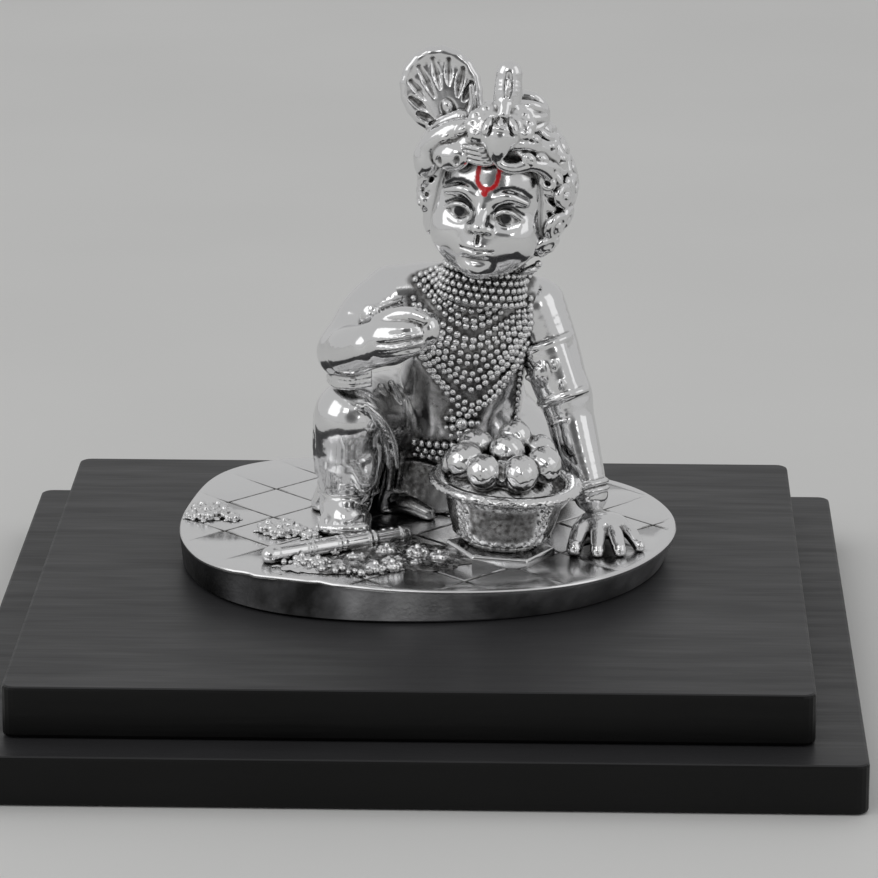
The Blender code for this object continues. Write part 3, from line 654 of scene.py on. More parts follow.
HAIR_ROWS = 8
SIDE_CURLS = (
    ((0.92, -0.44, 0.48), 2.6, 2.0), ((0.95, -0.42, 0.08), 2.8, 2.2), ((0.95, -0.40, -0.34), 2.8, 2.4),
    ((0.92, -0.36, -0.78), 2.6, 2.8), ((1.0, -0.05, 0.15), 3.3, 1.5), ((1.0, -0.08, -0.30), 3.2, 1.7),
    ((0.86, -0.1, -0.78), 2.9, 2.6), ((0.74, -0.2, -1.20), 2.1, 4.8),
    ((-0.92, -0.46, 0.46), 2.5, 1.9), ((-0.95, -0.42, 0.06), 2.6, 1.9), ((-0.95, -0.38, -0.34), 2.5, 1.8),
    ((-1.0, -0.10, 0.20), 3.0, 1.6), ((-1.0, -0.10, -0.25), 2.8, 1.5), ((-0.90, 0.0, -0.70), 2.5, 1.2),
)


def curl(clay, out, size, start, hand, lift=1.2):
    """A snail-shell curl of hair on the head, round the direction out."""
    out = unit(out)
    base = np.array((0, 1.5, 1.8)) + out * np.array((13.5, 14.0, 13.8))
    across = unit(np.cross(out, (0.2, 0.1, 1.0)))
    upward = np.cross(across, out)
    stations = []
    for step in range(13):
        share = step / 12
        around = start + hand * share * 2 * math.pi * 1.4
        reach = size * (1 - 0.82 * share)
        at = base + across * reach * math.cos(around) + upward * reach * math.sin(around)
        at = at + out * (lift + 1.0 * share)
        stations.append((*at, size * (0.38 - 0.08 * share)))
    clay.limb(stations, blend=0.3, steps=2)


def on_face(side, back, up):
    return (back < -0.30 and up < 0.66 and abs(side) < 0.83) or (back < -0.62 and up < 0.72)


def build_hair(silver):
    clay = Clay(*HAIR_GRID, HEAD)
    clay.ball((0, 2.6, 2.6), (12.9, 13.4, 13.2))
    clay.ball((0, 5.0, -6.0), (11.4, 10.4, 9.0), blend=3.0)
    clay.ball((0, -9.5, -5.5), (11.0, 9.0, 11.5), cut=True, blend=1.0)
    for side in (-1, 1):
        clay.limb([(10.0 * side, -7.0, 8.4, 1.7), (11.6 * side, -5.4, 2.6, 1.8),
                   (11.9 * side, -4.2, -3.6, 1.9),
                   (11.2 * side, -3.2, -8.6, 1.7)], blend=1.0)
        for lock in range(6):
            low = 7.0 - 2.9 * lock
            clay.limb([(10.0 * side, -8.4, low + 1.2, 0.35), (12.3 * side, -7.0, low + 0.5, 0.6),
                       (14.2 * side, -4.4, low - 1.0, 0.4)], blend=0.3, cut=True, steps=2)
    number = 0
    for row in range(HAIR_ROWS):
        lift = math.radians(-56 + 19 * row)
        count = max(3, round(13 * math.cos(lift)))
        for place in range(count):
            around = 2 * math.pi * (place + 0.5 * (row % 2)) / count
            out = (math.sin(around) * math.cos(lift), math.cos(around) * math.cos(lift), math.sin(lift))
            number += 1
            if on_face(out[0], out[1], out[2]):
                continue
            size = 3.15 + 0.4 * math.sin(number * 2.4)
            curl(clay, out, size, number * 2.4, 1 if number % 2 else -1)
    for number, (out, size, lift) in enumerate(SIDE_CURLS):
        curl(clay, out, size, 2.0 * number, 1 if out[0] > 0 else -1, lift)
    finish_piece(clay_piece("idol_hair", clay, 0.6), silver, "idol")


# The headdress


def build_headdress(silver):
    clay = Clay(*HEADDRESS_GRID)
    model_bun(clay)
    model_feather(clay)
    model_brooch(clay)
    model_side_locks(clay)
    finish_piece(clay_piece("idol_headdress", clay, 0.45), silver, "idol")


def model_bun(clay):
    """The knot of hair behind the brooch, wound with strands."""
    clay.limb([(18.4, 2.0, 88.0, 4.0), (21.0, 5.2, 88.6, 4.4), (21.8, 9.0, 87.6, 4.0)])
    clay.limb([(16.0, 4.0, 87.0, 5.0), (9.0, 4.0, 87.0, 4.2), (5.0, 2.0, 85.0, 3.2)], blend=2.0)
    middle = np.array((20.8, 5.0, 88.4))
    for strand in range(5):
        sweep = math.radians(-62 + 34 * strand)
        ring = []
        for step in range(9):
            around = math.radians(-110 + 27.5 * step)
            offset = np.array((math.sin(around) * 4.3, math.cos(sweep) * 4.0 * math.cos(around),
                               math.sin(sweep) * 4.2 * math.cos(around) + 0.6 * math.sin(sweep)))
            ring.append((*(middle - offset * (1, 1, -1)), 1.05))
        clay.limb(ring, blend=0.3, steps=2)


FEATHER_ROOT = np.array((7.0, 1.6, 87.0))
FEATHER_LEANS = np.radians(np.linspace(-90, 30, 13))
FEATHER_SLOTS = 9


def feather_reach(lean):
    """How far the feather's rim lies from its root, at a lean from upright."""
    return 6.9 + 8.7 * np.cos(1.55 * (lean + math.radians(22)))


def feather_way(lean):
    return unit((math.sin(lean), 0.14, math.cos(lean)))


def model_feather(clay):
    """The peacock feather: a rounded fan with a rim, slots between its ribs and a drop near its root."""
    def spot(x, y, z, radius):
        return (*(FEATHER_ROOT + (x, y, z)), radius)

    fan = [FEATHER_ROOT + feather_way(lean) * feather_reach(lean) for lean in FEATHER_LEANS]
    for tip in fan:
        clay.limb([(*FEATHER_ROOT, 1.3), (*((FEATHER_ROOT + tip) / 2), 1.9), (*tip, 1.1)], blend=0.9, steps=3,
                  flat=((0.1, 1, 0.1), 0.8))
    rim = [(*(tip + (0, -0.2, 0)), 1.1) for tip in fan]
    clay.limb([spot(-1.6, 0, -2.0, 0.9), *rim, spot(4.6, 0, 2.4, 1.2)], blend=1.2)
    for number, lean in enumerate(np.radians(np.linspace(-84, 20, FEATHER_SLOTS))):
        reach = feather_reach(lean)
        start = (0.60, 0.50, 0.55)[number % 3]
        inner = FEATHER_ROOT + feather_way(lean - 0.05) * start * reach + (0, -1.7, 0)
        outer = FEATHER_ROOT + feather_way(lean) * (reach - 1.0) + (0, -1.3, 0)
        clay.limb([(*inner, 0.3), (*((inner + outer) / 2), 0.85), (*outer, 0.55)], blend=0.15, cut=True,
                  steps=2)
    eye = FEATHER_ROOT + feather_way(math.radians(-20)) * 4.6 + (0, -1.8, 0)
    clay.ball(eye + (0, -0.3, 0), (1.8, 0.9, 2.2), turn(y=-20), blend=0.2, cut=True)
    clay.ball(eye, (1.1, 0.9, 1.5), turn(y=-20), blend=0.1)
    clay.limb([spot(1.6, -1.8, 0.6, 1.0), spot(3.4, -1.5, 4.6, 0.8), spot(3.2, -1.3, 8.6, 0.5)], blend=0.4)


BROOCH = (turn(x=-26), np.array((16.3, -6.2, 88.8)))


def model_brooch(clay):
    """The shell-shaped brooch over the forehead: lobes, three drops, a pointed tip and an upright petal."""
    def at(across, up, out=0.0):
        return BROOCH[1] + BROOCH[0] @ np.array((across, -out, up))

    clay.ball(at(0, 0), (6.9, 2.6, 4.3), BROOCH[0], blend=1.0)
    clay.limb([(*at(0, -1.4, 0.6), 3.8), (*at(-0.4, -4.2, 0.4), 2.6), (*at(-0.8, -6.6, -0.2), 1.1)],
              blend=1.4)
    for lobe in range(9):
        around = math.radians(-26 + 29 * lobe)
        middle = at(5.4 * math.cos(around), 3.5 * math.sin(around), 0.4)
        clay.ball(middle, (1.9, 1.7, 1.7), blend=0.5)
        clay.ball(at(5.6 * math.cos(around), 3.6 * math.sin(around), 2.2), 0.45, cut=True, blend=0.15)
    for across, tall in ((-2.6, 2.0), (0.0, 1.6), (2.6, 2.0)):
        lean = BROOCH[0] @ turn(y=-8 * across)
        clay.ball(at(across, -0.6, 3.1), (1.5, 1.1, tall + 0.6), lean, blend=0.2, cut=True)
        clay.ball(at(across, -0.6, 2.4), (0.9, 1.1, tall), lean, blend=0.1)
    for part in range(3):
        clay.ball(at(-0.2 - 0.15 * part, -3.4 - 0.95 * part, 3.2 - 0.5 * part), 0.5, blend=0.1)
    clay.limb([(*at(0.6, 2.0, 2.2), 1.3), (*at(0.9, 4.2, 1.8), 1.4), (*at(1.2, 6.4, 0.8), 0.8)], blend=0.2)
    clay.limb([(17.2, -5.2, 90.6, 2.4), (17.7, -4.6, 94.6, 2.9), (17.9, -4.0, 98.6, 2.6)], blend=0.5,
              flat=((0, 1, 0.15), 0.75))
    clay.ball((18.0, -4.0, 99.0), (2.6, 1.9, 2.9), blend=0.3)
    clay.limb([(17.6, -7.0, 95.0, 0.4), (17.8, -6.8, 97.0, 0.8), (17.9, -6.2, 99.4, 0.5)], blend=0.2,
              cut=True)
    clay.limb([(17.6, -6.5, 95.6, 0.35), (17.8, -6.2, 97.0, 0.4), (17.9, -5.8, 98.4, 0.25)], blend=0.05)


def model_side_locks(clay):
    """The plump locks, the ridged jewel and the swirl between the brooch and the forehead."""
    clay.ball((6.4, -5.0, 82.4), (4.4, 2.8, 3.2), turn(0, -12, -32), blend=0.6)
    clay.ball((1.4, -0.8, 80.6), (2.7, 2.8, 4.0), turn(0, 14, -30), blend=0.5)
    clay.ball((12.0, -5.4, 85.4), (4.6, 2.6, 3.2), turn(0, -10, 0), blend=1.0)
    clay.limb([(0.9, -0.6, 81.2, 2.4), (3.2, -2.2, 84.9, 2.5), (6.8, -3.9, 87.3, 2.4),
               (10.4, -5.0, 88.6, 1.8)],
              blend=0.5)
    clay.limb([(1.6, 1.2, 84.0, 1.6), (4.2, 0.2, 87.4, 1.7), (8.0, -1.2, 89.6, 1.6)], blend=0.4)
    for x, y, z in ((1.4, -2.6, 83.8), (5.0, -5.2, 86.2), (8.4, -6.4, 88.0)):
        clay.ball((x, y, z), (1.5, 1.0, 1.0), turn(0, -35, -25), blend=0.25)
    for dimple in ((3.6, -6.6, 81.2), (7.4, -8.6, 81.8)):
        clay.ball(dimple, (0.8, 1.2, 1.5), turn(y=12), blend=0.2, cut=True)
    for ridge in range(4):
        x = 10.8 + 0.35 * ridge
        clay.limb([(x - 1.8, -7.6, 85.0 - 1.0 * ridge, 0.45), (x + 1.2, -8.4, 84.6 - 1.0 * ridge, 0.65),
                   (x + 3.4, -8.2, 84.9 - 1.0 * ridge, 0.45)], blend=0.1, steps=2)
    clay.limb([(15.4, -8.8, 83.2, 0.9), (16.8, -8.9, 81.4, 1.1), (19.4, -8.6, 80.8, 1.2),
               (22.2, -7.6, 81.4, 1.5),
               (24.8, -5.8, 80.6, 2.0), (27.2, -3.4, 77.4, 1.8)], blend=0.3)
    clay.limb([(18.4, -7.8, 85.4, 1.3), (21.4, -7.0, 85.4, 1.6), (25.0, -4.4, 83.6, 1.9),
               (28.2, -0.8, 79.8, 1.8)],
              blend=0.3)
    for number, (x, y, z) in enumerate(((22.0, -8.4, 82.6), (24.6, -6.8, 82.2), (27.0, -4.6, 79.8),
                                        (23.4, -6.8, 86.0), (26.6, -3.8, 84.0), (28.6, -1.8, 81.0))):
        clay.ball((x, y, z), (1.7, 1.2, 1.3), turn(0, 35, 20 * number), blend=0.25)
        clay.limb([(x - 1.2, y - 1.0, z + 0.5, 0.2), (x, y - 1.4, z - 0.1, 0.3),
                   (x + 1.2, y - 0.7, z - 0.5, 0.2)],
                  blend=0.15, cut=True, steps=2)
    for leaf in range(3):
        clay.ball((20.4 + 1.6 * leaf, -8.0 + 0.9 * leaf, 83.6 - 0.7 * leaf), (1.9, 0.7, 0.6),
                  turn(0, 24, -30),
                  blend=0.1)
    clay.ball((18.2, -8.8, 83.0), (1.2, 1.0, 1.1), blend=0.2, cut=True)
    ring = []
    for step in range(12):
        around = 0.6 * step
        reach = 2.2 * (1 - 0.06 * step)
        ring.append((26.2 + reach * math.cos(around), -5.0 - 0.05 * step, 77.0 + reach * math.sin(around),
                     0.62))
    clay.limb(ring, blend=0.2, steps=2)


# Beads

BEAD_DIVISIONS = 2
# How near a bead the skin is painted dark, a painted shade round each bead, and where that ends
BEAD_SHADE = (1.3, 2.1)


def bead_template():
    shape = bmesh.new()
    bmesh.ops.create_icosphere(shape, subdivisions=BEAD_DIVISIONS, radius=1)
    points = np.array([vertex.co for vertex in shape.verts])
    faces = np.array([[vertex.index for vertex in face.verts] for face in shape.faces])
    shape.free()
    return points, faces


def beads_piece(name, beads, surface):
    """One piece with a small ball at each x, y, z and radius, with painted shade on the side that lies on the
    surface.
    """
    points, faces = bead_template()
    beads = np.asarray(beads, float)
    placed = beads[:, None, :3] + points[None] * beads[:, None, 3:]
    starts = np.arange(len(beads)) * len(points)
    # Painted shade on the side of each ball that faces the surface.
    shaded_side = np.clip(1.6 * (points @ np.array(surface, float) + 0.25), 0, 0.95)
    return make_mesh(name, placed.reshape(-1, 3), (faces[None] + starts[:, None, None]).reshape(-1, 3),
                     {"hollow": np.full(placed.shape[0] * placed.shape[1], 0.40),
                      "stain": np.tile(shaded_side, len(beads))})


def front_of(clay):
    """Where the clay's front lies at x and z, looking along +Y, as a table on its grid."""
    inside = clay.field < 0
    first = inside.argmax(axis=1)
    i, k = np.indices(first.shape)
    before = clay.field[i, np.maximum(first - 1, 0), k]
    after = clay.field[i, first, k]
    share = np.clip(before / np.maximum(before - after, 1e-6), 0, 1)
    depth = clay.low[1] + clay.cube * (first - 1 + share)
    depth[~inside.any(axis=1)] = 60.0
    return depth


def on_front(clay, depth, x, z):
    at = np.array([[(x - clay.low[0]) / clay.cube, (z - clay.low[2]) / clay.cube]])
    low = np.clip(np.floor(at).astype(int), 0, np.array(depth.shape) - 2)[0]
    near = depth[low[0]:low[0] + 2, low[1]:low[1] + 2]
    return float(near.min())


BEAD_RADIUS = 0.80
# The strings on the chest in groups: how many, then height, drop and half width, each with its step
STRING_GROUPS = (
    (6, 55.8, -0.5, 2.6, 1.3, 6.4, 1.05),
    (4, 49.4, -1.1, 7.4, 0.7, 12.0, -0.1),
    (3, 44.4, -1.2, 9.8, 0.6, 11.8, -0.2),
    (2, 40.0, -1.2, 12.6, 0.5, 11.2, -0.2),
)
CHEST_MIDDLE = 10.4


def string_beads(clay, depth, top, drop, half, radius, seed):
    """Beads side by side along one string that hangs on the chest, a little uneven."""
    line = []
    for share in np.linspace(-1, 1, 161):
        x = CHEST_MIDDLE + half * share
        z = top - drop * (1 - abs(share) ** 1.5)
        line.append((x, on_front(clay, depth, x, z), z))
    line = np.array(line)
    line = line[line[:, 1] < 22]
    steps = np.linalg.norm(np.diff(line, axis=0), axis=1)
    along = np.concatenate([[0], np.cumsum(np.minimum(steps, 3))])
    count = max(2, int(along[-1] / (2.02 * radius)))
    beads = []
    for number, place in enumerate(np.linspace(0, along[-1], count)):
        x, y, z = (np.interp(place, along, line[:, i]) for i in range(3))
        wobble = math.sin(12.9 * number + 7.1 * seed)
        beads.append((x + 0.12 * wobble, y - 0.1, z + 0.22 * math.sin(5.3 * number + 3.7 * seed),
                      radius * (1 + 0.09 * wobble)))
    return beads


def chest_beads(body):
    """The strings, the pendant, the girdle, the short string at the hip and the rows round the neck."""
    depth = front_of(body)
    beads = []
    for count, top, top_step, drop, drop_step, half, half_step in STRING_GROUPS:
        for row in range(count):
            beads += string_beads(body, depth, top + row * top_step, drop + row * drop_step,
                                  half + row * half_step, BEAD_RADIUS, row + top)
    for row in range(3):
        for step in range(11):
            x = -5.2 + 1.65 * step + 0.8 * (row % 2)
            z = 16.8 - 1.75 * row + 0.12 * step
            beads.append((x, on_front(body, depth, x, z) - 0.3, z, 0.85))
    pendant = np.array((8.2, on_front(body, depth, 8.2, 23.0) - 0.6, 23.0))
    for ring, count, size in ((0.0, 1, 1.4), (2.0, 7, 0.85), (3.3, 11, 0.62)):
        for place in range(count):
            around = 2 * math.pi * place / count
            offset = (ring * math.cos(around), 0.12 * ring, 1.1 * ring * math.sin(around))
            beads.append((*(pendant + offset), size))
    for step in range(14):
        x = 20.6 - 0.12 * step
        z = 38.0 - 1.6 * step
        beads.append((x, on_front(body, depth, x, z), z, 0.78))
    for row in range(7):
        for step in range(17):
            around = math.radians(-88 + 11 * step + 5 * (row % 2))
            reach = 7.6 + 0.3 * min(row, 4)
            at = np.array((-0.3 + reach * math.sin(around), 3.3 - reach * math.cos(around),
                           -13.2 - 1.5 * row))
            beads.append((*(HEAD[0] @ at + HEAD[1]), 0.74))
    return beads


# The bowl: its axis on the oval base, its lean, and its profile of radius, height and kind

BOWL_AT = np.array((16.6, -11.0, 0.0))
BOWL_LEAN = turn(y=4.0)
BOWL_SIDES = 288
BOWL_LOWEST = -0.15
BOWL_STEP = 0.45
BOWL_PROFILE = (
    (11.20, -0.4, "foot"), (11.20, 0.5, "foot"), (11.20, 1.7, "foot"), (10.90, 2.1, "foot"),
    (9.3, 2.5, "foot"), (7.6, 2.7, "stem"), (7.2, 2.9, "stem"), (7.1, 3.2, "stem"), (7.7, 3.5, "stem"),
    (8.2, 3.8, "stem"), (9.2, 4.1, "cup"), (10.2, 5.0, "cup"), (11.0, 7.0, "cup"), (11.7, 9.5, "cup"),
    (12.3, 12.0, "cup"), (12.6, 13.2, "cup"), (13.4, 13.9, "rim"), (15.0, 14.6, "rim"), (15.7, 15.1, "rim"),
    (15.8, 15.6, "rim"), (15.5, 16.1, "rim"), (14.4, 16.4, "rim"), (13.2, 16.3, "rim"), (12.4, 16.0, "rim"),
    (12.0, 15.2, "plain"), (11.0, 14.4, "plain"), (6.0, 13.6, "plain"),
)


def soft_step(value, edge, width):
    return 1 / (1 + np.exp(-(value - edge) / (0.25 * width)))


def bowl_relief(kind, height, around):
    """How far a ring of the bowl stands out at each angle, and how hollow it is there."""
    zero = np.zeros_like(around)
    if kind == "foot":
        sector = np.mod(around + math.pi / 6, math.pi / 3) - math.pi / 6
        return math.cos(math.pi / 6) / np.cos(sector) - 1, zero + (0.10 if height > 2.0 else 0.0)
    if kind == "stem":
        return 0.012 * np.cos(24 * around), zero + 0.12
    if kind == "rim":
        leaf = np.sin(26 * around + 1.5 * height) * np.sin(11 * around + 5.1 * height)
        fine = np.sin(61 * around - 6 * height)
        return 0.009 * leaf + 0.004 * fine, 0.13 * np.clip(-leaf - 0.25 + 0.3 * fine, 0, 1)
    if kind == "plain":
        return zero, zero + 0.3
    across = (np.mod(around + math.pi / 4, math.pi / 2) - math.pi / 4) / (math.pi / 4)
    low_edge = 5.2 + 3.0 * across ** 4
    inside = soft_step(0.82 - np.abs(across), 0, 0.10) * soft_step(height, low_edge, 0.7)
    inside = inside * soft_step(12.9 - height, 0, 0.5)
    frame_line = np.exp(-((np.abs(across) - 0.88) / 0.04) ** 2)
    leaves = np.sin(34 * around + 1.3 * height) * np.sin(3.2 * height + 8 * around)
    out = 0.020 * frame_line * (1 - inside) + 0.024 * leaves * (1 - inside) - 0.020 * inside
    # The recessed panels are darkened: patina, made darker still as a painted dark reflection.
    return out, 0.24 * (1 - inside) * np.clip(-leaves, 0, 1) + 0.21 * inside


def refine_profile(profile):
    """The profile with its long stretches divided, each new point of the kind of its stretch."""
    fine = [profile[0]]
    for (r0, z0, kind0), (r1, z1, kind1) in zip(profile[:-1], profile[1:]):
        parts = max(1, math.ceil(math.hypot(r1 - r0, z1 - z0) / BOWL_STEP))
        for part in range(1, parts + 1):
            share = part / parts
            kind = kind1 if kind0 == kind1 or share == 1 else kind0
            fine.append((r0 + share * (r1 - r0), z0 + share * (z1 - z0), kind))
    return fine


def build_bowl(silver):
    around = np.linspace(0, 2 * math.pi, BOWL_SIDES, endpoint=False)
    rings, hollows = [], []
    for radius, height, kind in refine_profile(BOWL_PROFILE):
        out, hollow = bowl_relief(kind, height, around)
        reach = radius * (1 + out)
        rings.append(np.stack([reach * np.sin(around), -reach * np.cos(around), np.full(BOWL_SIDES, height)],
                              1))
        hollows.append(0.42 + hollow)
    points = np.concatenate(rings)
    count = len(rings)
    ring = np.arange(BOWL_SIDES)
    following = (ring + 1) % BOWL_SIDES
    faces = []
    for level in range(count - 1):
        low, high = level * BOWL_SIDES, (level + 1) * BOWL_SIDES
        faces += np.stack([low + ring, low + following, high + following, high + ring], 1).tolist()
    faces.append(ring[::-1].tolist())
    faces.append((ring + (count - 1) * BOWL_SIDES).tolist())
    points = points @ BOWL_LEAN.T + BOWL_AT
    points[:, 2] = np.maximum(points[:, 2], BOWL_LOWEST)
    bowl = make_mesh("offering_bowl_cup", points, faces, {"hollow": np.concatenate(hollows)},
                     sharp_degrees=50)
    finish_piece(bowl, silver, "offering_bowl")


# The sweets that show: middle and radius
LADDUS = (
    (11.5, -8.0, 22.1, 3.8), (9.6, -13.2, 20.4, 4.1), (13.4, -19.2, 20.0, 3.7), (18.0, -12.4, 22.2, 3.8),
    (19.4, -6.2, 23.4, 3.7), (20.8, -18.8, 19.6, 3.9), (25.4, -13.6, 19.9, 4.0), (24.4, -6.0, 20.4, 3.8),
    (17.2, -17.2, 18.8, 3.4), (12.4, -3.4, 18.8, 3.7), (18.8, -1.8, 18.8, 3.6), (7.6, -8.6, 18.4, 3.4),
)


def build_laddus(silver):
    """The heap of round sweets, each a little uneven, on a mound that fills the bowl."""
    clay = Clay(*LADDUS_GRID)
    clay.ball(BOWL_AT + (-0.1, 0.2, 13.6), (11.6, 11.6, 5.0), BOWL_LEAN)
    for number, (x, y, z, radius) in enumerate(LADDUS):
        tilt = turn(40 * number, 25 * number, 15 * number)
        clay.ball((x, y, z), (radius, radius * 0.96, radius * 0.92), tilt, blend=0.1)

    def grain(x, y, z):
        coarse = np.sin(2.3 * x + 1.1 * y) * np.sin(2.1 * y + 0.7 * z) * np.sin(2.5 * z + 0.9 * x)
        fine = np.sin(5.1 * x) * np.sin(4.7 * y + 1.0) * np.sin(5.3 * z)
        return 0.10 * coarse + 0.05 * fine

    clay.ripple((1, -27, 15), (33, 5, 28), grain)
    finish_piece(clay_piece("offering_bowl_laddus", clay, 0.8), silver, "offering_bowl")


# The oval base

# Over its middle: half sizes at the top and at the underside, whose middle is moved
OVAL_MIDDLE = (1.2, 9.8)
OVAL_HALF = (51.9, 44.9)
OVAL_BOTTOM_HALF = (50.45, 44.6)
OVAL_BOTTOM_SHIFT = -0.85
OVAL_THICK = 6.7
OVAL_PARTS = 192
# Where the oval is fuller than an ellipse, or notched: angle, share of its half size, and width in degrees
TOP_SWELLINGS = ((130, 0.190, 24), (36, 0.015, 14), (198, 0.012, 14), (219, 0.062, 16), (246, -0.022, 13),
                 (305, 0.066, 26), (230.5, 0.008, 3), (228, -0.016, 1.8), (246, -0.014, 1.8), (249, 0.007, 3))
BOTTOM_SWELLINGS = ((130, 0.190, 24), (36, 0.015, 14), (233, 0.088, 30), (305, 0.030, 26))
# The side wall is darker towards its left end: where that stops and how softly
WALL_DARKER_STOP = -2.0
WALL_DARKER_WIDTH = 14.0
TILE_TURN = 45.0
TILE_ALONG = 14.6
TILE_ALONG_START = -27.6
TILE_ACROSS = 13.6
TILE_ACROSS_START = -41.0
GROOVE_HALF_WIDTH = 0.5
GROOVE_DEPTH = 0.35


def oval_reach(around, swellings):
    """How much fuller than an ellipse the oval is at an angle."""
    degrees = math.degrees(around) % 360
    parts = (share * math.exp(-((degrees - middle) / width) ** 2) for middle, share, width in swellings)
    return 1 + sum(parts)


def oval_ring(grow, height, inset=0.0):
    """The oval's outline, from the underside's (grow 0) to the top's (grow 1)."""
    ring = []
    for part in range(OVAL_PARTS):
        around = 2 * math.pi * part / OVAL_PARTS
        low = [full * oval_reach(around, BOTTOM_SWELLINGS) for full in OVAL_BOTTOM_HALF]
        high = [full * oval_reach(around, TOP_SWELLINGS) for full in OVAL_HALF]
        half = [a + grow * (b - a) - inset for a, b in zip(low, high)]
        shift = (1 - grow) * OVAL_BOTTOM_SHIFT
        ring.append((OVAL_MIDDLE[0] + shift + half[0] * math.cos(around),
                     OVAL_MIDDLE[1] + half[1] * math.sin(around), height))
    return ring


def groove_offsets():
    """For each of the two ways across the tiles, where its grooves lie."""
    along = [TILE_ALONG_START + TILE_ALONG * step for step in range(8)]
    across = [TILE_ACROSS_START + TILE_ACROSS * step for step in range(9)]
    return along, across


def tile_axes(points):
    """Places across the two families of grooves."""
    slope = math.radians(TILE_TURN)
    x, y = points[:, 0], points[:, 1]
    return y * math.cos(slope) - x * math.sin(slope), x * math.cos(slope) + y * math.sin(slope)


def build_oval(plate, satin):
    """The oval base: a softly tapered wall, a bright rim and a tiled top with V-cut grooves."""
    shape = bmesh.new()
    rings = [oval_ring(0.0, -OVAL_THICK, 0.3), oval_ring(0.0, -OVAL_THICK + 0.35), oval_ring(0.5, -3.6),
             oval_ring(0.9, -1.4), oval_ring(1.0, -0.75), oval_ring(1.0, -0.35), oval_ring(1.0, -0.08, 0.18),
             oval_ring(1.0, 0.0, 0.5), oval_ring(1.0, 0.0, 1.2)]
    layers = [[shape.verts.new(point) for point in ring] for ring in rings]
    for low, high in zip(layers[:-1], layers[1:]):
        for part in range(OVAL_PARTS):
            following = (part + 1) % OVAL_PARTS
            shape.faces.new((low[part], low[following], high[following], high[part]))
    shape.faces.new(layers[0][::-1])
    top = shape.faces.new(layers[-1])
    tile_faces = [top]
    slope = math.radians(TILE_TURN)
    normals = (Vector((-math.sin(slope), math.cos(slope), 0)), Vector((math.cos(slope), math.sin(slope), 0)))
    for normal, offsets in zip(normals, groove_offsets()):
        for offset in offsets:
            for side in (-GROOVE_HALF_WIDTH, 0.0, GROOVE_HALF_WIDTH):
                tile_faces = [face for face in tile_faces if face.is_valid]
                geometry = set(tile_faces)
                for face in tile_faces:
                    geometry.update(face.edges)
                    geometry.update(face.verts)
                cut = bmesh.ops.bisect_plane(shape, geom=list(geometry), plane_co=normal * (offset + side),
                                             plane_no=normal, dist=1e-5)
                tile_faces = [item for item in cut["geom"] if isinstance(item, bmesh.types.BMFace)]
    shape.verts.index_update()
    points = np.array([vertex.co for vertex in shape.verts])
    outer = ((points[:, 0] - OVAL_MIDDLE[0]) / (OVAL_HALF[0] - 1.3)) ** 2
    outer += ((points[:, 1] - OVAL_MIDDLE[1]) / (OVAL_HALF[1] - 1.3)) ** 2
    inner = (points[:, 2] > -0.01) & (outer < 1)
    depth = np.zeros(len(points))
    tile_number = np.zeros((len(points), 2))
    for family, (places, offsets) in enumerate(zip(tile_axes(points), groove_offsets())):
        offsets = np.array(offsets)
        gaps = np.abs(places[:, None] - offsets[None])
        depth = np.maximum(depth, np.clip(1 - gaps.min(1) / GROOVE_HALF_WIDTH, 0, 1))
        tile_number[:, family] = np.searchsorted(offsets, places)
    seed = tile_number[:, 0] * 12.9898 + tile_number[:, 1] * 78.233
    long_wave = np.sin(seed) * np.sin(points[:, 0] * 0.4)
    cross_wave = np.cos(1.7 * seed) * np.cos(points[:, 1] * 0.4)
    waves = 0.024 * (long_wave + cross_wave)
    points[:, 2] = np.where(inner, points[:, 2] - GROOVE_DEPTH * depth + waves * (depth < 0.02), points[:, 2])
    for vertex, point in zip(shape.verts, points):
        vertex.co = point
    wall = [face.index for face in shape.faces if face.calc_center_median().z < -1.0]
    mesh_faces = [[vertex.index for vertex in face.verts] for face in shape.faces]
    shape.free()
    left_darkening = np.clip((WALL_DARKER_STOP - points[:, 0]) / WALL_DARKER_WIDTH, 0, 1) * (points[:, 2] < -0.5)
    oval = make_mesh("oval_base_plate", points, mesh_faces,
                     {"hollow": 0.42 + 0.4 * depth * inner, "stain": left_darkening},
                     sharp_degrees=25)
    finish_piece(oval, plate, "oval_base")
    oval.data.materials.append(satin)
    for face in wall:
        oval.data.polygons[face].material_index = 1


def on_oval(across, back, lift=0.0):
    """A point on the oval base, from shares of its half length and half depth."""
    return np.array((OVAL_MIDDLE[0] + across * OVAL_HALF[0], OVAL_MIDDLE[1] + back * OVAL_HALF[1], lift))


# The flute, the flowers (across, back, radius and turn) and the rough ground under them

FLOWERS = (
    (-0.925, 0.110, 2.7, 0.2), (-0.860, 0.130, 2.5, 0.5), (-0.900, 0.020, 2.8, 1.4),
    (-0.830, 0.050, 2.5, 0.9), (-0.955, 0.025, 2.0, 0.4), (-0.795, 0.000, 1.9, 0.7),
    (-0.640, -0.170, 2.7, 0.2), (-0.575, -0.120, 2.5, 0.5), (-0.590, -0.230, 2.7, 1.2),
    (-0.520, -0.200, 2.4, 0.1), (-0.465, -0.265, 2.2, 0.8), (-0.440, -0.190, 1.9, 0.3),
    (-0.478, -0.632, 2.3, 0.6), (-0.414, -0.664, 2.3, 0.3), (-0.185, -0.742, 2.4, 1.0),
    (-0.120, -0.705, 2.3, 0.3), (-0.027, -0.508, 2.6, 0.9), (0.060, -0.560, 2.2, 0.2),
    (-0.150, -0.470, 2.2, 0.5), (-0.240, -0.350, 2.2, 1.1),
)
GROUND_PATCHES = (
    ((-13.0, -20.0, 0.0), (16.5, 5.6, 0.55), 7.0), ((1.5, -14.5, 0.0), (9.5, 9.0, 0.60), 20.0),
    ((-7.0, -7.0, 0.0), (8.0, 8.0, 0.55), 0.0),
)
FLUTE_START = (-0.605, -0.625)
FLUTE_LENGTH = 30.8
FLUTE_RADIUS = 1.9
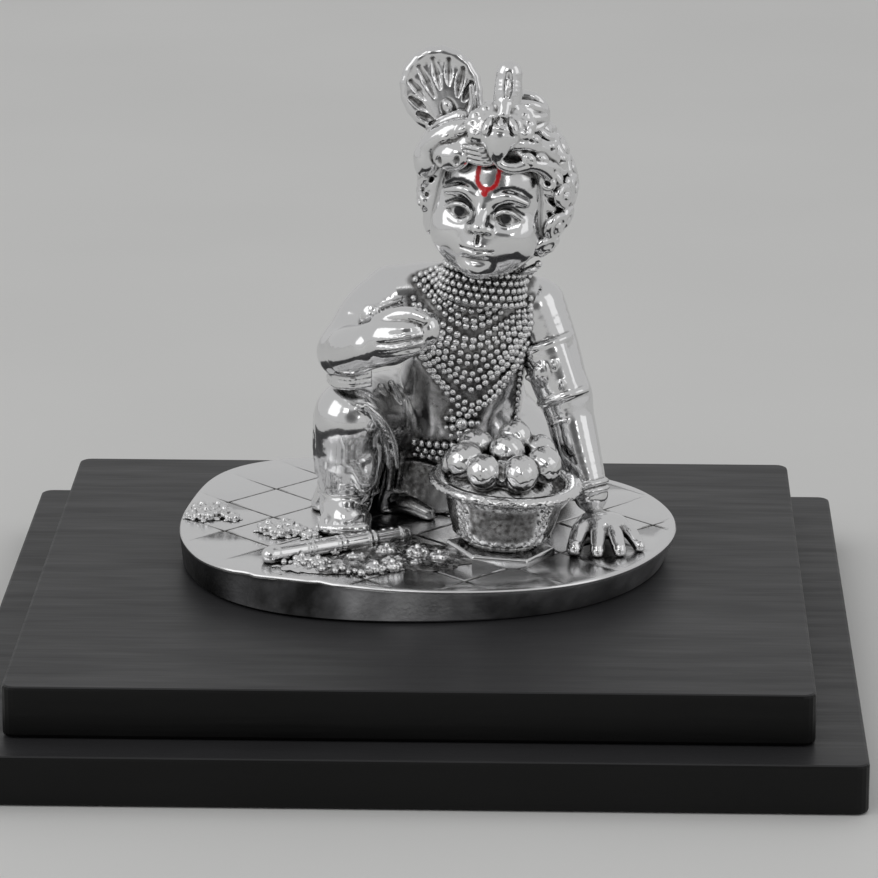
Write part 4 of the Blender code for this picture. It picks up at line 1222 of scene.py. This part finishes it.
FLUTE_TURN = 30.0


def level_way(around):
    """A level direction at an angle, and the turn that goes with it."""
    return np.array((math.cos(around), math.sin(around), 0)), turn(z=math.degrees(around))


def model_flower(clay, middle, radius, start):
    """A rosette of five round petals, each with a curl cut into it, round a button, with leaves."""
    for leaf in range(5):
        way, spin = level_way(start + 0.6 + 1.257 * leaf)
        clay.ball(middle + way * 0.88 * radius, (0.34 * radius, 0.26 * radius, 0.26 * radius), spin,
                  blend=0.1)
    clay.ball(middle, (0.75 * radius, 0.75 * radius, 0.72 * radius), blend=0.1)
    for petal in range(5):
        way, spin = level_way(start + 2 * math.pi * petal / 5)
        at = middle + way * 0.54 * radius + (0, 0, 0.34 * radius)
        clay.ball(at, (0.42 * radius, 0.36 * radius, 0.42 * radius), spin, blend=0.05)
        curl_place = at + way * 0.10 * radius + (0, 0, 0.38 * radius)
        clay.ball(curl_place, (0.24 * radius, 0.13 * radius, 0.16 * radius), spin, cut=True, blend=0.1)
    clay.ball(middle + (0, 0, 0.74 * radius), (0.28 * radius, 0.28 * radius, 0.28 * radius), blend=0.05)


def model_flute(clay):
    start = on_oval(*FLUTE_START, 0.75 * FLUTE_RADIUS)
    way = level_way(math.radians(FLUTE_TURN))[0]
    side = np.array((-way[1], way[0], 0))
    tube = []
    for share in np.linspace(0, 1, 5):
        tube.append((*(start + way * FLUTE_LENGTH * share), FLUTE_RADIUS * (1 - 0.12 * share)))
    clay.limb(tube, blend=0.2, steps=3)
    for share in (0.0, 0.06, 0.27, 0.31, 0.50, 0.54, 0.73, 0.77, 0.97):
        middle = start + way * FLUTE_LENGTH * share
        ring = [(*(middle + side * 1.55 * math.cos(a) + (0, 0, 1.55 * math.sin(a))), 0.42)
                for a in np.linspace(0, 2 * math.pi, 13)]
        clay.limb(ring, blend=0.15, steps=1)
    for share in (0.38, 0.60, 0.66, 0.84, 0.90):
        clay.ball(start + way * FLUTE_LENGTH * share + (0, 0, 1.5), 0.5, cut=True, blend=0.1)


def build_trimmings(silver):
    clay = Clay(*TRIMMINGS_GRID)
    for middle, radii, spin in GROUND_PATCHES:
        clay.ball(middle, radii, turn(z=spin), blend=0.3)

    def rough(x, y, z):
        waves = np.sin(1.3 * x + 0.5 * y) * np.sin(1.1 * y - 0.6 * x)
        waves = waves + 0.4 * np.sin(2.6 * x) * np.sin(2.2 * y + x)
        return 0.20 * waves * (z < 1.4)

    clay.ripple(*TRIMMINGS_GRID[:2], rough)
    model_flute(clay)
    for across, back, radius, start in FLOWERS:
        model_flower(clay, on_oval(across, back), radius, start)
    for number in range(16):
        across = -0.57 + 0.036 * number
        back = -0.60 + 0.10 * math.sin(2.4 * number) + 0.25 * max(0, across + 0.25)
        model_flower(clay, on_oval(across, back), 1.3 + 0.3 * math.sin(1.7 * number), number)
    cut_flat(clay)

    def stains(points):
        # The trimmings are darker towards the bottom, within 0.72 mm of the base's top, right of x = -20.
        low = np.clip((0.72 - points[:, 2]) / 0.30, 0, 1)
        return {"stain": 0.9 * low * (points[:, 0] > -20)}

    finish_piece(clay_piece("oval_base_trimmings", clay, 0.5, stains), silver, "oval_base")
    beads = []
    for step in range(13):
        wobble = math.sin(2.9 * step)
        at = on_oval(-0.55 + 0.026 * step, -0.660 - 0.012 * step + 0.024 * wobble, 0.55)
        beads.append((*at, 0.72 + 0.22 * math.sin(4.3 * step)))
    finish_piece(beads_piece("oval_base_beads", beads, (0, 0, -1)), silver, "oval_base")


# Materials


class Nodes:
    """A material's nodes, added with one call each."""

    def __init__(self, name):
        self.material = bpy.data.materials.new(name)
        self.material.use_nodes = True
        self.tree = self.material.node_tree
        self.shader = self.tree.nodes["Principled BSDF"]

    def add(self, kind, settings=None, **inputs):
        node = self.tree.nodes.new(kind)
        for key, value in (settings or {}).items():
            setattr(node, key, value)
        for key, value in inputs.items():
            self.feed(node, key, value)
        return node

    def feed(self, node, key, value):
        socket = node.inputs[int(key)] if key.isdigit() else node.inputs[key]
        if isinstance(value, bpy.types.NodeSocket):
            self.tree.links.new(value, socket)
        else:
            socket.default_value = value

    def shade(self, key, value):
        self.feed(self.shader, key, value)

    def value(self, name):
        """A number stored at the mesh's points."""
        return self.add("ShaderNodeAttribute", {"attribute_name": name}).outputs["Fac"]

    def combine(self, operation, first, second):
        node = self.add("ShaderNodeMath", {"operation": operation})
        self.feed(node, "0", first)
        self.feed(node, "1", second)
        return node.outputs[0]

    def span(self, value, low, high, to_low=0.0, to_high=1.0):
        """Takes a value from one range to another, and holds it there."""
        node = self.add("ShaderNodeMapRange")
        for number, item in enumerate((value, low, high, to_low, to_high)):
            self.feed(node, str(number), item)
        return node.outputs[0]

    def blend(self, share, first, second):
        node = self.add("ShaderNodeMix", {"data_type": "RGBA"})
        self.feed(node, "0", share)
        self.feed(node, "6", first)
        self.feed(node, "7", second)
        return node.outputs[2]

    def noise(self, scale, detail=3.0, stretch=(1, 1, 1)):
        place = self.add("ShaderNodeTexCoord").outputs["Object"]
        mapping = self.add("ShaderNodeMapping", Vector=place, Scale=stretch)
        return self.add("ShaderNodeTexNoise", Vector=mapping.outputs[0], Scale=scale,
                        Detail=detail).outputs["Fac"]

    def bump(self, height, strength, distance):
        node = self.add("ShaderNodeBump", Height=height, Strength=strength, Distance=distance)
        self.shade("Normal", node.outputs[0])


BRIGHT_SILVER = (0.80, 0.80, 0.805, 1)
DARK_SILVER = (0.040, 0.037, 0.034, 1)
RED_ENAMEL = (0.62, 0.006, 0.012, 1)
BLACK_PAINT = (0.01, 0.01, 0.012, 1)
WALL_DARK, WALL_LIGHT = (0.24, 0.24, 0.245, 1), (0.62, 0.62, 0.63, 1)
LEFT_WALL_DARK, LEFT_WALL_LIGHT = (0.012, 0.012, 0.012, 1), (0.085, 0.085, 0.088, 1)
LACQUER_DARK, LACQUER_LIGHT = (0.001, 0.001, 0.001, 1), (0.003, 0.003, 0.003, 1)
# The colour of the painted sheen on the plinth's upward faces
SHEEN_LACQUER = (0.036, 0.036, 0.038, 1)
FLOOR_DARK, FLOOR_LIGHT = (0.74, 0.74, 0.73, 1), (0.78, 0.78, 0.77, 1)
# How far the metal looks for its neighbours, and the shares of open sky and of hollow that darken it: too
# little open sky gives painted shade, a hollow gives patina
SKY_REACH = 0.0065
SKY_RANGE = (0.14, 0.58)
HOLLOW_RANGE = (0.53, 0.64)
# Roughness from clean to hazy metal, and how uneven it is
POLISHED_LOOK = (0.08, 0.15), 0.12
PLATE_LOOK = (0.17, 0.25), 0.04


def silver_material(name, haze_range, uneven):
    """Mirror-bright plate with patina left in its hollows, painted shade where its neighbours shut off the
    sky, and the painted marks of the face.
    """
    nodes = Nodes(name)
    open_sky = nodes.add("ShaderNodeAmbientOcclusion", {"samples": 8}, Distance=SKY_REACH).outputs["AO"]
    # Painted shade: the colour darkens where neighbours within SKY_REACH shut off the sky.
    shaded = nodes.span(open_sky, *SKY_RANGE, 1.0, 0.0)
    hollow = nodes.span(nodes.value("hollow"), *HOLLOW_RANGE)
    mottle = nodes.span(nodes.noise(900.0), 0.3, 0.7, 0.70, 1.10)
    deep = nodes.combine("MAXIMUM", shaded, hollow)
    # The darkening is partly patina in hollows and stains, and partly painted shade from the closed-off sky
    # and from the shade values of the pieces.
    oxide_and_shade = nodes.combine("MULTIPLY", nodes.combine("MAXIMUM", deep, nodes.value("stain")), mottle)
    oxide_and_shade = nodes.span(oxide_and_shade, 0.0, 1.0, 0.0, 0.95)
    colour = nodes.blend(oxide_and_shade, BRIGHT_SILVER, DARK_SILVER)
    red, black = nodes.value("red"), nodes.value("black")
    colour = nodes.blend(red, colour, RED_ENAMEL)
    colour = nodes.blend(black, colour, BLACK_PAINT)
    nodes.shade("Base Color", colour)
    paint = nodes.combine("MAXIMUM", red, black)
    nodes.shade("Metallic", nodes.combine("SUBTRACT", 1.0, paint))
    haze = nodes.span(nodes.noise(260.0), 0.3, 0.75, *haze_range)
    rough = nodes.combine("ADD", haze, nodes.combine("MULTIPLY", oxide_and_shade, 0.20))
    nodes.shade("Roughness", nodes.combine("ADD", rough, nodes.combine("MULTIPLY", paint, 0.15)))
    nodes.bump(nodes.noise(420.0, 4.0), uneven, 0.0004)
    return nodes.material


def satin_material():
    """The base's side wall: unpolished, dark and mottled."""
    nodes = Nodes("satin_silver")
    cloud = nodes.span(nodes.noise(85.0, 5.0), 0.35, 0.68)
    colour = nodes.blend(cloud, WALL_DARK, WALL_LIGHT)
    left_wall_colour = nodes.blend(cloud, LEFT_WALL_DARK, LEFT_WALL_LIGHT)
    # The wall is darker towards its left end.
    nodes.shade("Base Color", nodes.blend(nodes.value("stain"), colour, left_wall_colour))
    nodes.shade("Metallic", 1.0)
    nodes.shade("Roughness", nodes.span(nodes.noise(300.0, 4.0), 0.3, 0.7, 0.36, 0.50))
    nodes.bump(nodes.noise(1400.0, 4.0), 0.25, 0.0003)
    return nodes.material


def lacquer_material():
    """Black lacquer over wood: faint brush lines along the boards, and a painted sheen that lightens the
    upward faces in soft patches.
    """
    nodes = Nodes("black_lacquer")
    grain = nodes.noise(60.0, 6.0, (1.0, 14.0, 14.0))
    cloud = nodes.noise(26.0, 4.0)
    lacquer = nodes.blend(nodes.span(cloud, 0.3, 0.7), LACQUER_DARK, LACQUER_LIGHT)
    normal = nodes.add("ShaderNodeNewGeometry").outputs["Normal"]
    upward = nodes.add("ShaderNodeSeparateXYZ", Vector=normal).outputs["Z"]
    # Painted sheen: upward faces are painted lighter, a little unevenly by a cloud.
    top_sheen = nodes.combine("MULTIPLY", nodes.span(upward, 0.7, 0.98), nodes.span(cloud, 0.3, 0.75, 0.80, 1.0))
    nodes.shade("Base Color", nodes.blend(top_sheen, lacquer, SHEEN_LACQUER))
    nodes.shade("Specular IOR Level", 0.24)
    nodes.shade("Roughness", nodes.span(nodes.noise(40.0, 5.0, (1.0, 8.0, 8.0)), 0.3, 0.75, 0.34, 0.48))
    nodes.bump(grain, 0.10, 0.0004)
    return nodes.material


def dress_plinth(lacquer):
    for node in ("plinth_upper_tier", "plinth_lower_tier"):
        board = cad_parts[node]
        board.data.materials.clear()
        board.data.materials.append(lacquer)


# Floor, light and camera

FLOOR_HALF = 2.2
FLOOR_HEIGHT = -0.0002
CAMERA_TARGET = Vector((0.0037, 0.0, 0.0487))
CAMERA_AZIMUTH = 1.8
CAMERA_ELEVATION = 16.8
CAMERA_DISTANCE = 0.982
CAMERA_LENS = 194.8


def make_floor():
    nodes = Nodes("pale_floor")
    cloud = nodes.span(nodes.noise(6.0), 0.3, 0.7)
    nodes.shade("Base Color", nodes.blend(cloud, FLOOR_DARK, FLOOR_LIGHT))
    nodes.shade("Roughness", 0.75)
    shape = bmesh.new()
    bmesh.ops.create_grid(shape, x_segments=8, y_segments=8, size=FLOOR_HALF)
    mesh = bpy.data.meshes.new("floor")
    shape.to_mesh(mesh)
    shape.free()
    mesh.materials.append(nodes.material)
    floor = add_object("floor", mesh)
    floor.location.z = FLOOR_HEIGHT


# Each light: place, the point it faces, width, height and power in watts
LIGHTS = {
    "left_panel": ((-1.05, -0.55, 0.75), (0, 0, 0.06), 0.9, 0.9, 1.9),
    "right_panel": ((1.05, -0.45, 0.65), (0, 0, 0.06), 0.7, 0.9, 0.8),
    "front_window": ((-0.34, -0.98, 0.80), (0, 0, 0.08), 0.34, 0.30, 0.62),
    "front_strip": ((0.42, -0.92, 0.50), (0, 0, 0.08), 0.10, 0.40, 0.25),
}
WORLD_GREY = 0.55
# The dark opening in the tent of light, where the photographer stands: its middle and its soft edge
OPENING_WAY = (0.03, -0.957, 0.289)
OPENING_EDGE = (0.90, 0.995)
OPENING_GREY = 0.12


def make_lights():
    for name, (place, faces, width, height, power) in LIGHTS.items():
        light = bpy.data.lights.new(name, "AREA")
        light.shape = "RECTANGLE"
        light.size, light.size_y = width, height
        light.energy = power
        lamp = add_object(name, light)
        lamp.location = place
        lamp.rotation_euler = (Vector(faces) - Vector(place)).to_track_quat("-Z", "Y").to_euler()
    world = bpy.data.worlds.new("studio")
    world.use_nodes = True
    tree = world.node_tree
    way = tree.nodes.new("ShaderNodeTexCoord").outputs["Generated"]
    toward = tree.nodes.new("ShaderNodeVectorMath")
    toward.operation = "DOT_PRODUCT"
    toward.inputs[1].default_value = OPENING_WAY
    tree.links.new(way, toward.inputs[0])
    grey = tree.nodes.new("ShaderNodeMapRange")
    grey.interpolation_type = "SMOOTHSTEP"
    for number, value in enumerate((*OPENING_EDGE, WORLD_GREY, OPENING_GREY)):
        grey.inputs[number + 1].default_value = value
    tree.links.new(toward.outputs["Value"], grey.inputs[0])
    tree.links.new(grey.outputs[0], tree.nodes["Background"].inputs["Color"])
    bpy.context.scene.world = world
    bpy.context.scene.view_settings.view_transform = "Standard"


def make_camera():
    azimuth, elevation = math.radians(CAMERA_AZIMUTH), math.radians(CAMERA_ELEVATION)
    back = Vector((math.sin(azimuth) * math.cos(elevation), -math.cos(azimuth) * math.cos(elevation),
                   math.sin(elevation)))
    lens = bpy.data.cameras.new("camera")
    lens.lens = CAMERA_LENS
    lens.clip_start, lens.clip_end = 0.05, 20
    camera = add_object("camera", lens)
    camera.location = CAMERA_TARGET + back * CAMERA_DISTANCE
    camera.rotation_euler = (-back).to_track_quat("-Z", "Y").to_euler()
    bpy.context.scene.camera = camera


def main():
    make_camera()
    make_floor()
    make_lights()
    silver = silver_material("polished_silver", *POLISHED_LOOK)
    satin = satin_material()
    plate = silver_material("plate_silver", *PLATE_LOOK)
    build_body(silver)
    build_arms(silver)
    build_face(silver)
    build_hair(silver)
    build_headdress(silver)
    build_bowl(silver)
    build_laddus(silver)
    build_oval(plate, satin)
    build_trimmings(silver)
    dress_plinth(lacquer_material())


main()
